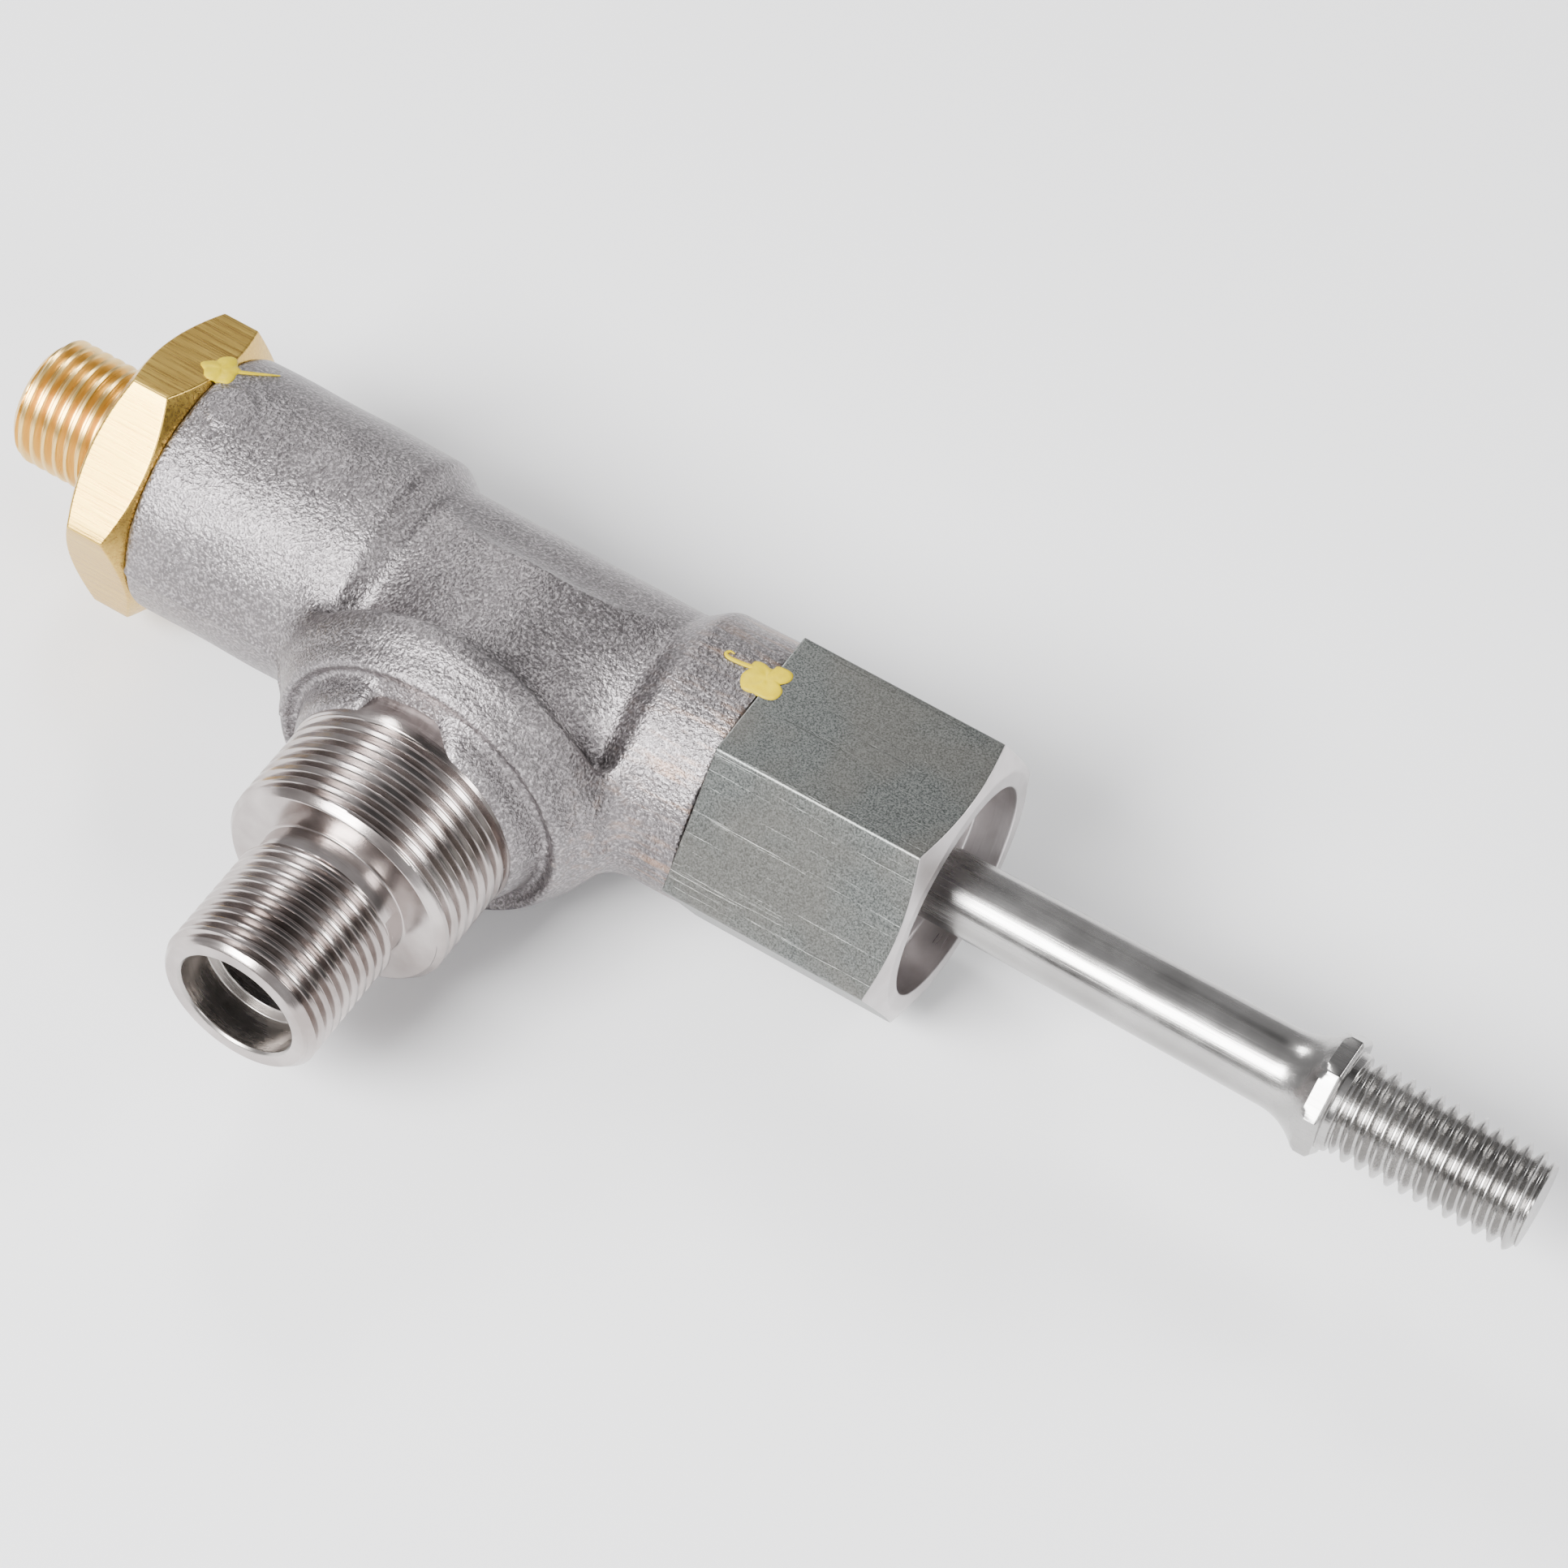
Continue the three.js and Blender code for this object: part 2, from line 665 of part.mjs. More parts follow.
const pieces = [
  ["valve_body", valveBody(), CAST],
  ["gland_nut", glandNut(), ZINC],
  ["bypass_fitting", bypassFitting(), BRASS],
  ["fitting_o_ring", roundRing(O_RINGS.fitting_o_ring), RUBBER],
  ["valve_seat", valveSeat(), STEEL],
  ["seat_o_ring", roundRing(O_RINGS.seat_o_ring), RUBBER],
  ["seat_spacer", ring(RINGS.seat_spacer), STEEL],
  ["closing_spring", closingSpring(), STEEL],
  ["spring_cap", ring(RINGS.spring_cap), STEEL],
  ["valve_head", valveHead(), STEEL],
  ["head_seal", ring(RINGS.head_seal), PTFE],
  ["seal_clamp_washer", ring(RINGS.seal_clamp_washer), STEEL],
  ["head_lock_nut", headLockNut(), STEEL],
  ["spindle", spindle(), STEEL],
  ["inner_guide_bush", ring(RINGS.inner_guide_bush), BRONZE],
  ["inner_backup_ring", ring(RINGS.inner_backup_ring), PTFE],
  ["spindle_o_ring", roundRing(O_RINGS.spindle_o_ring), RUBBER],
  ["outer_backup_ring", ring(RINGS.outer_backup_ring), PTFE],
  ["lip_seal", lipSeal(), PTFE],
  ["gland_bush", ring(RINGS.gland_bush), BRONZE],
  ["wiper_ring", wiperRing(), RUBBER],
  ["gland_o_ring", roundRing(O_RINGS.gland_o_ring), RUBBER],
  ["sealing_paint_rear", paintDab(PAINT_DABS.sealing_paint_rear), LACQUER],
  ["sealing_paint_front", paintDab(PAINT_DABS.sealing_paint_front), LACQUER],
];

const valve = new THREE.Group();
for (const [name, geometry, look] of pieces) {
  const mesh = new THREE.Mesh(geometry, new THREE.MeshStandardMaterial(look));
  mesh.name = name;
  valve.add(mesh);
}
valve.position.x = -SPINDLE_END_X;

const group = new THREE.Group();
group.add(valve);
export default group;
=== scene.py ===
import json
import math

import bmesh
import bpy
import numpy as np
import openvdb
from mathutils import Matrix, Vector
from mathutils.bvhtree import BVHTree


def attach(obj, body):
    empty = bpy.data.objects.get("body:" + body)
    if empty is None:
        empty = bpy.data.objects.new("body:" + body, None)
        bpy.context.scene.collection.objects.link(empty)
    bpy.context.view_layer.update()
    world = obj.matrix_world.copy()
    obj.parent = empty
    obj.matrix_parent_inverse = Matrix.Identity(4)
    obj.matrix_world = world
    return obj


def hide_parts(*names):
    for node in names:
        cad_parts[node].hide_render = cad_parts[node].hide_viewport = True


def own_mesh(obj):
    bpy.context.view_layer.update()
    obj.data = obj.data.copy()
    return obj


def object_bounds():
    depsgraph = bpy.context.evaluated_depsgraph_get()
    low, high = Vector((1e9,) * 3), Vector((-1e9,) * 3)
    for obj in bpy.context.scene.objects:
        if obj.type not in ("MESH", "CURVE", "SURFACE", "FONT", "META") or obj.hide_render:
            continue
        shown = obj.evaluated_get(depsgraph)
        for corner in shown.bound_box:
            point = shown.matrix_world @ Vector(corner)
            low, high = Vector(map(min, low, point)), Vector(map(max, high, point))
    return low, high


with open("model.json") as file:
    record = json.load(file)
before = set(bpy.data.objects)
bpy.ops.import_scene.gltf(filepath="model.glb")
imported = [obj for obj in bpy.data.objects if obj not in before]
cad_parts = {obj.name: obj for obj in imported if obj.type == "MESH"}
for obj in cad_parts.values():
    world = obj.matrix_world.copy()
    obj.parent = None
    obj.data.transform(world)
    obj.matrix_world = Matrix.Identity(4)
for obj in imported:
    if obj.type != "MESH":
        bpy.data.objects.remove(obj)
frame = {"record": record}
cad_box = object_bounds()

MM = 0.001
TURN = 2 * math.pi

# The valve's own lengths below are in millimetres from the crossing of its main axis and its port axis,
# which the spindle's hinge gives. Angles about the main axis run from +Y towards +Z.
HINGE = next(joint for joint in frame["record"]["behaviour"]["joints"] if joint["type"] == "hinge")
CROSSING = Vector(HINGE["pos_m"])

HOUSING = "housing"
FOLLOWER = "spring_follower"
SPINDLE_SET = "spindle_set"

# ---------------------------------------------------------------- driving dimensions

# Casting: the barrel's two ends, the waist between them, and the bore's radius along the main axis.
BODY_REAR = -37.45
BODY_FRONT = 24.95
BARREL_RADIUS = 13.5
WAIST_RADIUS = 11.65
REAR_SHOULDER = (-14.9, -12.4)
FRONT_SHOULDER = (14.3, 16.9)
BORE_STEPS = [-14.61, -14.6, 5.99, 6, 14.19, 14.2]
BORE_RADII = [9, 5.8, 5.8, 6.8, 6.8, 8.7]

# Casting, port side: radii about the port axis, and distances out from the main axis.
NECK_RADIUS = 13.3
NECK_END = 15
FLANGE_RADIUS = 17.5
FLANGE_BACK = 12.9
CONE_START_RADIUS = 12.1
CONE_REACH = 19.0
CONE_FALL = 0.6
RING_TOP = 2.5
RING_EDGE = [12.6, 13.5]
BEAD_HEIGHT = 1.9
BEAD_RADIUS = 15.4
BEAD_SPREAD = 0.95
NIPPLE_SOCKET_RADIUS = 11.6
NIPPLE_SOCKET_START = 17
CROSS_BORE_RADIUS = 5.3

# The ring's gap, in degrees about the port axis: its ends, and how far each end slopes.
RING_GAP = (64, 116)
RING_GAP_SLOPES = (20, 5)

# Mould marks: a round pad on the upper side, and the seam of the mould's halves.
PAD_X = -34.3
PAD_RADIUS = 2.4
PAD_MIDDLE = 12.6
PAD_HALF_HEIGHT = 1.02
SEAM_HEIGHT = 0.24
SEAM_HALF_WIDTH = 0.3
SWELL_HEIGHT = 0.05

# Port nipple: distances out from the main axis, and radii.
NIPPLE_START = 16.6
NIPPLE_PLAIN_END = 21.8
NIPPLE_RADIUS = 12.15
PORT_SHOULDER = 32.7
RELIEF_RADIUS = 7.75
RELIEF_END = 34.9
PORT_END = 48.4
PORT_BORE_RADIUS = 5.0
MOUTH_RADIUS = 6.05
MOUTH_FLOOR = 44.0

# Prisms: half the width across flats, the rounding of the edges, and the turn about the main axis.
NUT_HEX = {"sides": 6, "flat_radius": 13.5, "edge_round": 0.45, "turn": 0.0}
FITTING_HEX = {"sides": 6, "flat_radius": 13.5, "edge_round": 0.3, "turn": math.radians(104)}
LOCK_NUT_HEX = {"sides": 6, "flat_radius": 4.0, "edge_round": 0.15, "turn": 0.0}
COLLAR_OCTAGON = {"sides": 8, "flat_radius": 5.88, "edge_round": 0.2, "turn": math.radians(17.7)}
EDGE_CHAMFER_SLOPE = math.tan(math.pi / 6)

# Gland nut.
NUT_START = 14.4
NUT_BACK = 24.98
NUT_FACE = 47.8
NUT_FACE_RADIUS = 12.7
NUT_CHAMFER_SLOPE = 0.404
RECESS_FLOOR = 43.9
RECESS_RADIUS = 10.9
WIPER_POCKET_RADIUS = 6.5
GLAND_BUSH_RADIUS = 5.6

# Bypass fitting.
FITTING_START = -28.0
FITTING_SKIRT_RADIUS = 8.7
FITTING_BACK = -37.5
FITTING_FACE = -44.3
FITTING_FACE_RADIUS = 13.1
FITTING_END = -56.4
FITTING_BORE_RADIUS = 3.8

# Spindle: stub, rod, flare and collar.
STUB_END = -28.3
STUB_SHOULDER = -17.8
STUB_RADIUS = 2.4
GUIDED_RADIUS = 3.7
ROD_START = 48.0
ROD_RADIUS = 4.02
FLARE_START = 81.5
FLARE_LENGTH = 5.406
FLARE_WIDEST = 6.5
FLARE_POWER = 2.5
FLARE_STEPS = 12
COLLAR_END = 88.4
SPINDLE_END = 108.5

# Closing spring: centres of the end coils, radii and turns.
SPRING_START = -32.2
SPRING_END = -25.4
SPRING_RADIUS = 5.62
WIRE_RADIUS = 0.45
SPRING_TURNS = 3.75

# Paint: the crown's height over the metal, and the tail's height as a share of its width.
PAINT_HEIGHT = 0.3
TAIL_FLATNESS = 0.55

# Light of the room, and its dark corners: (direction, where the fade starts and ends, light left there).
ROOM_LIGHT = 0.5
DARK_CORNERS = [
    ((-0.25, -0.95, 0.15), 0.88, 0.96, 0.03),
    ((0.84, 0.54, -0.05), 0.75, 0.97, 0.12),
    ((0.12, 0.55, 0.83), 0.92, 0.98, 0.15),
]

# Area lights, one metre from the valve: (name, direction, width and height in metres, watts).
SOFTBOX_DISTANCE = 1.0
SOFTBOXES = [
    ("key_front_left", (-0.25, -0.69, 0.68), (0.5, 0.42), 30),
    ("front_right", (0.72, -0.43, 0.55), (0.3, 0.3), 4),
    ("back_right", (0.69, 0.54, 0.49), (0.26, 0.2), 4),
    ("back_left", (-0.52, 0.54, 0.66), (0.2, 0.2), 4),
]

# The camera stands in front of the port side, well above the valve, and is rolled a little.
CAMERA_LENS = 115.5
CAMERA_PLACE = Vector((146.6, -253.5, 381.5)) * MM
CAMERA_RIGHT = Vector((0.8507, 0.5192, 0.0823))
CAMERA_BACK = Vector((0.2503, -0.5377, 0.8051))

# Facets of the meshes.
ARC_STEPS = 3
ARC_MARGIN = 0.05
FLAT_STEPS = 14
EDGE_STEPS = 5
NIPPLE_COLUMNS = 200
SPINDLE_COLUMNS = 160
RING_COLUMNS = 72
TUBE_SIDES = 12
PAINT_STEPS = 90
TAIL_STEPS = 6
CASTING_VOXEL = 0.27

# ---------------------------------------------------------------- threads

# Crest and root radius, pitch, and the shares of the pitch that the crest and the root take.
BYPASS_THREAD = {"crest": 6.58, "root": 5.8, "pitch": 1.337, "crest_share": 0.3, "root_share": 0.12}
TIP_THREAD = {"crest": 8.33, "root": 7.66, "pitch": 1.337, "crest_share": 0.34, "root_share": 0.1}
PORT_THREAD = {"crest": 12.0, "root": 11.34, "pitch": 1.5, "crest_share": 0.46, "root_share": 0.08}
SPINDLE_THREAD = {"crest": 4.93, "root": 4.02, "pitch": 1.5, "crest_share": 0.1, "root_share": 0.2}
SAMPLES_PER_PITCH = 16
FLANK_SOFTNESS = 0.35


def ridge_height(share, thread):
    """Height of a thread's ridge, 0 at the root and 1 at the crest, at a share of one pitch."""
    from_root = 1 - abs(2 * share - 1)
    flank = 1 - thread["crest_share"] - thread["root_share"]
    slope = min(1.0, max(0.0, (from_root - thread["root_share"]) / flank))
    softened = slope * slope * (3 - 2 * slope)
    return FLANK_SOFTNESS * softened + (1 - FLANK_SOFTNESS) * slope


def thread_points(thread, start, end, angle, start_radius, end_radius, end_slope=1.0):
    """One column of a helical thread, as (distance, radius), faded into the given radii at its ends."""
    pitch = thread["pitch"]
    depth = thread["crest"] - thread["root"]
    shift = angle / TURN
    count = (math.ceil((end - start) / pitch) + 1) * SAMPLES_PER_PITCH
    points = []
    for sample in range(count + 1):
        along = start + (sample / SAMPLES_PER_PITCH + shift - 1) * pitch
        along = min(max(along, start), end)
        share = ((along - start) / pitch - shift) % 1.0
        radius = thread["root"] + depth * ridge_height(share, thread)
        radius = min(radius, start_radius + (along - start) * 1.2)
        radius = min(radius, end_radius + (end - along) * end_slope)
        points.append((along, radius))
    return points


# ---------------------------------------------------------------- outlines

def corner(along, radius, rounding=0.0, zone=0):
    """One corner of an outline: its place, how far it is rounded, and the material zone that follows it."""
    return along, radius, rounding, zone


def thread_run(points, zone=0):
    """Thread points as outline corners."""
    return [corner(along, radius, 0.0, zone) for along, radius in points]


def rounded(outline, looped):
    """An outline's points, with each rounded corner as an arc, and the zone of each stretch.

    A further point just outside each end of an arc keeps the shading of the straight stretch flat.
    """
    places = [np.array(entry[:2], float) for entry in outline]
    count = len(outline)
    points = []
    zones = []
    for index, (_, _, rounding, zone) in enumerate(outline):
        here = places[index]
        if rounding == 0 or (not looped and index in (0, count - 1)):
            points.append(here)
            zones.append(zone)
            continue
        before = places[index - 1] - here
        after = places[(index + 1) % count] - here
        room = 0.45 * min(np.linalg.norm(before), np.linalg.norm(after))
        before /= np.linalg.norm(before) + 1e-9
        after /= np.linalg.norm(after) + 1e-9
        reach = min(rounding, room - ARC_MARGIN) if room > 2 * ARC_MARGIN else 0.5 * room
        points.append(here + before * min(reach + ARC_MARGIN, room))
        for step in range(ARC_STEPS + 1):
            share = step / ARC_STEPS
            bend = (1 - share) ** 2 * before + share**2 * after
            points.append(here + reach * bend)
        points.append(here + after * min(reach + ARC_MARGIN, room))
        zones += [outline[index - 1][3]] * 2 + [zone] * (ARC_STEPS + 1)
    return np.array(points), zones


def on_main_axis(along, radius, angle):
    return Vector((along, radius * math.cos(angle), radius * math.sin(angle)))


def on_port_axis(along, radius, angle):
    return Vector((radius * math.cos(angle), -along, radius * math.sin(angle)))


def even_angles(count):
    return [TURN * index / count for index in range(count + 1)]


def polygon_radius(angle, sides, flat_radius, edge_round, turn):
    """Distance from the axis to the side of a prism with rounded edges."""
    half = math.pi / sides
    from_corner = (angle - turn + half) % (2 * half) - half
    centre = (flat_radius - edge_round) / math.cos(half)
    flat_share = half - math.atan(centre * math.sin(half) / flat_radius)
    if abs(from_corner) < flat_share:
        reach = centre * math.sin(from_corner)
        return centre * math.cos(from_corner) + math.sqrt(max(edge_round**2 - reach**2, 0))
    return flat_radius / math.cos(half - abs(from_corner))


def polygon_angles(sides, flat_radius, edge_round, turn):
    """Angles for the columns of a prism: close together round its edges, wider apart on its flats."""
    half = math.pi / sides
    centre = (flat_radius - edge_round) / math.cos(half)
    flat_share = half - math.atan(centre * math.sin(half) / flat_radius)
    angles = []
    for side in range(sides):
        middle = turn + side * 2 * half
        angles += [middle + flat_share * (step / EDGE_STEPS * 2 - 1) for step in range(EDGE_STEPS)]
        flat = 2 * half - 2 * flat_share
        angles += [middle + flat_share + flat * step / FLAT_STEPS for step in range(FLAT_STEPS)]
    angles.append(angles[0] + TURN)
    return angles


def finish_mesh(name, mesh, materials, sharp_degrees=32):
    """Welds a bmesh, turns its faces outwards and makes it a smooth-shaded object."""
    bmesh.ops.remove_doubles(mesh, verts=mesh.verts, dist=2e-6)
    bmesh.ops.dissolve_degenerate(mesh, edges=mesh.edges, dist=1e-6)
    loose = [vertex for vertex in mesh.verts if not vertex.link_faces]
    bmesh.ops.delete(mesh, geom=loose, context="VERTS")
    bmesh.ops.recalc_face_normals(mesh, faces=mesh.faces)
    data = bpy.data.meshes.new(name)
    mesh.to_mesh(data)
    mesh.free()
    for material in materials:
        data.materials.append(material)
    data.polygons.foreach_set("use_smooth", [True] * len(data.polygons))
    data.set_sharp_from_angle(angle=math.radians(sharp_degrees))
    piece = bpy.data.objects.new(name, data)
    bpy.context.scene.collection.objects.link(piece)
    return piece


def turned(name, outline_at, materials, angles, place=on_main_axis, looped=True):
    """A piece turned about an axis: outline_at gives the outline's corners for each angle."""
    mesh = bmesh.new()
    columns = []
    for angle in angles:
        points, zones = rounded(outline_at(angle), looped)
        spots = [CROSSING + place(along, max(radius, 0), angle) * MM for along, radius in points]
        columns.append([mesh.verts.new(spot) for spot in spots])
    rows = len(columns[0])
    last = rows if looped else rows - 1
    for left, right in zip(columns, columns[1:]):
        for row in range(last):
            below = (row + 1) % rows
            face = mesh.faces.new((left[row], left[below], right[below], right[row]))
            face.material_index = zones[row]
    return finish_mesh(name, mesh, materials)


# ---------------------------------------------------------------- casting

def smooth_min(one, other, reach):
    """Union of two distance fields with a fillet."""
    share = np.clip(0.5 + 0.5 * (other - one) / reach, 0, 1)
    return other * (1 - share) + one * share - reach * share * (1 - share)


def smooth_max(one, other, reach):
    """Intersection of two distance fields with a rounded edge."""
    return -smooth_min(-one, -other, reach)


def eased(value, knots, levels, spread):
    """Straight stretches between knots, with their corners eased over a distance either way."""
    offsets = np.linspace(-spread, spread, 7)
    return sum(np.interp(value + offset, knots, levels) for offset in offsets) / len(offsets)


def barrel_distance(x, radius):
    """The barrel with its waist, and its two flat ends."""
    knots = [*REAR_SHOULDER, *FRONT_SHOULDER]
    levels = [BARREL_RADIUS, WAIST_RADIUS, WAIST_RADIUS, BARREL_RADIUS]
    barrel = radius - eased(x, knots, levels, 0.5)
    barrel = smooth_max(barrel, BODY_REAR - x, 0.5)
    return smooth_max(barrel, x - BODY_FRONT, 0.4)


def flange_distance(bearing, out, port_radius):
    """The flange: its front is a cone with a bead, and a ring that has a gap stands round the thread."""
    rise = (bearing - RING_GAP[0]) / RING_GAP_SLOPES[0]
    fall = (RING_GAP[1] - bearing) / RING_GAP_SLOPES[1]
    gap = np.clip(np.minimum(rise, fall), 0, 1)
    ring_share = 1 - gap * gap * (3 - 2 * gap)
    cone = CONE_REACH - CONE_FALL * (port_radius - CONE_START_RADIUS)
    ring = eased(port_radius, RING_EDGE, [RING_TOP, 0], 0.4)
    bead = BEAD_HEIGHT * np.exp(-(((port_radius - BEAD_RADIUS) / BEAD_SPREAD) ** 2))
    level = cone + ring_share * ring + bead
    rim = smooth_max(port_radius - FLANGE_RADIUS, (out - level) * 0.7, 1.3)
    return smooth_max(rim, FLANGE_BACK - out, 1.1)


def casting_distance(x, y, z):
    """Signed distance, roughly, from the cast body's surface: negative inside."""
    radius = np.sqrt(y * y + z * z)
    out = -y
    port_radius = np.sqrt(x * x + z * z)
    neck = smooth_max(port_radius - NECK_RADIUS, out - NECK_END, 0.6)
    neck = np.maximum(neck, -out)
    body = smooth_min(barrel_distance(x, radius), neck, 4.5)
    bearing = np.degrees(np.arctan2(z, x))
    body = smooth_min(body, flange_distance(bearing, out, port_radius), 4.2)
    socket = np.minimum(NIPPLE_SOCKET_RADIUS - port_radius, out - NIPPLE_SOCKET_START)
    body = np.maximum(body, socket)

    pad_side = np.sqrt((x - PAD_X) ** 2 + y * y) - PAD_RADIUS
    pad = np.maximum(pad_side, np.abs(z - PAD_MIDDLE) - PAD_HALF_HEIGHT)
    body = smooth_min(body, pad, 0.25)
    away_from_axis = np.clip((np.abs(y) - 6) / 3, 0, 1)
    body = body - SEAM_HEIGHT * np.exp(-((z / SEAM_HALF_WIDTH) ** 2)) * away_from_axis
    swell = np.sin(0.55 * x + 1.7 * np.sin(0.31 * z + 0.4 * y)) * np.sin(0.6 * y + 0.5 * z)
    body = body + SWELL_HEIGHT * swell

    bore = np.interp(x, BORE_STEPS, BORE_RADII)
    body = np.maximum(body, bore - radius)
    return np.maximum(body, np.minimum(CROSS_BORE_RADIUS - port_radius, out))


def cast_body(name, material):
    """The casting as one smooth skin over its distance field, with fillets where its shapes meet."""
    step = CASTING_VOXEL
    low = np.array([-39.0, -23.4, -19.0])
    high = np.array([26.5, 15.4, 19.0])
    x, y, z = (np.arange(start, stop, step) for start, stop in zip(low, high))
    distance = casting_distance(x[:, None, None], y[None, :, None], z[None, None, :])
    grid = openvdb.FloatGrid(3.0)
    grid.copyFromArray(distance.astype(np.float32))
    points, quads = grid.convertToQuads(isovalue=0.0)
    spots = (points * step + low) * MM + np.array(CROSSING)
    data = bpy.data.meshes.new(name)
    data.from_pydata(spots.tolist(), [], quads.tolist())
    mesh = bmesh.new()
    mesh.from_mesh(data)
    bpy.data.meshes.remove(data)
    for _ in range(2):
        bmesh.ops.smooth_vert(
            mesh, verts=mesh.verts, factor=0.5, use_axis_x=True, use_axis_y=True, use_axis_z=True
        )
    return finish_mesh(name, mesh, [material], 60)


# ---------------------------------------------------------------- materials

class Look:
    """A node material: add makes a node with its inputs set from numbers or from other nodes' outputs."""

    def __init__(self, name):
        self.material = bpy.data.materials.new(name)
        self.material.use_nodes = True
        self.tree = self.material.node_tree
        self.shader = self.tree.nodes["Principled BSDF"]
        self.where = self.tree.nodes.new("ShaderNodeTexCoord").outputs["Object"]

    def add(self, kind, inputs=(), **settings):
        node = self.tree.nodes.new("ShaderNode" + kind)
        for key, value in settings.items():
            setattr(node, key, value)
        self.set(node, inputs)
        return node

    def set(self, node, inputs):
        for key, value in dict(inputs).items():
            if isinstance(value, bpy.types.NodeSocket):
                self.tree.links.new(value, node.inputs[key])
            else:
                node.inputs[key].default_value = value

    def stretched(self, scale):
        """The surface's place, scaled along each axis."""
        return self.add("Mapping", {"Vector": self.where, "Scale": scale}).outputs[0]

    def noise(self, scale, detail=2.0, rough=0.5, vector=None):
        vector = vector or self.where
        inputs = {"Vector": vector, "Scale": scale, "Detail": detail, "Roughness": rough}
        return self.add("TexNoise", inputs).outputs["Fac"]

    def spread(self, value, low, high, to_low=0.0, to_high=1.0):
        """A value mapped from one range to another, held inside it."""
        inputs = {0: value, 1: low, 2: high, 3: to_low, 4: to_high}
        return self.add("MapRange", inputs).outputs[0]

    def mix(self, share, one, other):
        inputs = {"Factor": share, 6: one, 7: other}
        return self.add("Mix", inputs, data_type="RGBA").outputs[2]

    def math(self, operation, one, other=0.0):
        return self.add("Math", {0: one, 1: other}, operation=operation).outputs[0]

    def bump(self, height, strength, distance):
        inputs = {"Height": height, "Strength": strength, "Distance": distance}
        return self.add("Bump", inputs).outputs[0]

    def done(self, **inputs):
        names = {key.replace("_", " "): value for key, value in inputs.items()}
        self.set(self.shader, names)
        return self.material


def colour(red, green, blue):
    return red, green, blue, 1.0


def cast_look():
    """Blasted steel casting: fine bright grain, faint blotches, and a copper tint near the nut."""
    look = Look("blasted_casting")
    grain = look.noise(3300, 2, 0.6)
    pebble = look.noise(1500, 2, 0.5)
    blotch = look.noise(150, 3, 0.55)
    tone = look.mix(look.spread(blotch, 0.35, 0.7), colour(0.15, 0.138, 0.14), colour(0.21, 0.194, 0.197))
    tone = look.mix(look.spread(grain, 0.45, 0.75), tone, colour(0.5, 0.465, 0.472))
    streak = look.noise(1.0, 3, 0.6, look.stretched((130, 900, 900)))
    along = look.add("SeparateXYZ", {"Vector": look.where}).outputs["X"]
    heated = look.spread(along, CROSSING.x + 0.014, CROSSING.x + 0.022)
    tint = look.math("MULTIPLY", heated, look.spread(streak, 0.5, 0.72, 0.0, 0.55))
    tone = look.mix(tint, tone, colour(0.5, 0.3, 0.19))
    height = look.math("ADD", grain, look.math("MULTIPLY", pebble, 0.8))
    return look.done(
        Base_Color=tone,
        Metallic=1.0,
        Roughness=look.spread(grain, 0.3, 0.7, 0.34, 0.46),
        Normal=look.bump(height, 0.9, 0.00016),
    )


def steel_look(name, dark, light, lines, roughness):
    """Bright steel with fine tool or drawing lines along one direction, and faint clouds of tint."""
    look = Look(name)
    tool = look.noise(1.0, 3, 0.65, look.stretched(lines))
    cloud = look.noise(170, 3, 0.55)
    tone = look.mix(look.spread(cloud, 0.3, 0.7), colour(*dark), colour(*light))
    tone = look.mix(look.spread(tool, 0.55, 0.8, 0.0, 0.5), tone, colour(*dark))
    clouded = look.spread(cloud, 0.3, 0.7, *roughness)
    rough = look.math("ADD", clouded, look.spread(tool, 0.4, 0.7, 0.0, 0.06))
    return look.done(
        Base_Color=tone,
        Metallic=1.0,
        Roughness=rough,
        Normal=look.bump(tool, 0.5, 0.00003),
    )


def zinc_look():
    """Plated flats: a matt speckle with a few long dark drawing scratches."""
    look = Look("zinc_plated_flats")
    speckle = look.noise(5200, 3, 0.75)
    cloud = look.noise(120, 2, 0.5)
    scratch = look.noise(1.0, 4, 0.6, look.stretched((55, 3000, 3000)))
    lines = look.spread(scratch, 0.61, 0.68)
    tone = look.mix(look.spread(speckle, 0.38, 0.62), colour(0.07, 0.075, 0.073), colour(0.21, 0.22, 0.21))
    tone = look.mix(look.spread(cloud, 0.4, 0.6, 0.0, 0.35), tone, colour(0.17, 0.155, 0.135))
    tone = look.mix(look.math("MULTIPLY", lines, 0.5), tone, colour(0.07, 0.07, 0.068))
    height = look.math("SUBTRACT", look.math("MULTIPLY", speckle, 0.6), lines)
    return look.done(
        Base_Color=tone,
        Metallic=0.9,
        Roughness=look.spread(speckle, 0.3, 0.7, 0.3, 0.44),
        Normal=look.bump(height, 0.5, 0.00004),
    )


def brass_look(name, dark, light, lines, roughness):
    """Brass with tool or drawing lines along one direction and darker oxide between them."""
    look = Look(name)
    tool = look.noise(1.0, 4, 0.7, look.stretched(lines))
    cloud = look.noise(190, 3, 0.6)
    tone = look.mix(look.spread(tool, 0.35, 0.7), colour(*dark), colour(*light))
    tone = look.mix(look.spread(cloud, 0.35, 0.7, 0.0, 0.4), tone, colour(*dark))
    return look.done(
        Base_Color=tone,
        Metallic=1.0,
        Roughness=look.spread(tool, 0.3, 0.7, *roughness),
        Normal=look.bump(tool, 0.5, 0.00004),
    )


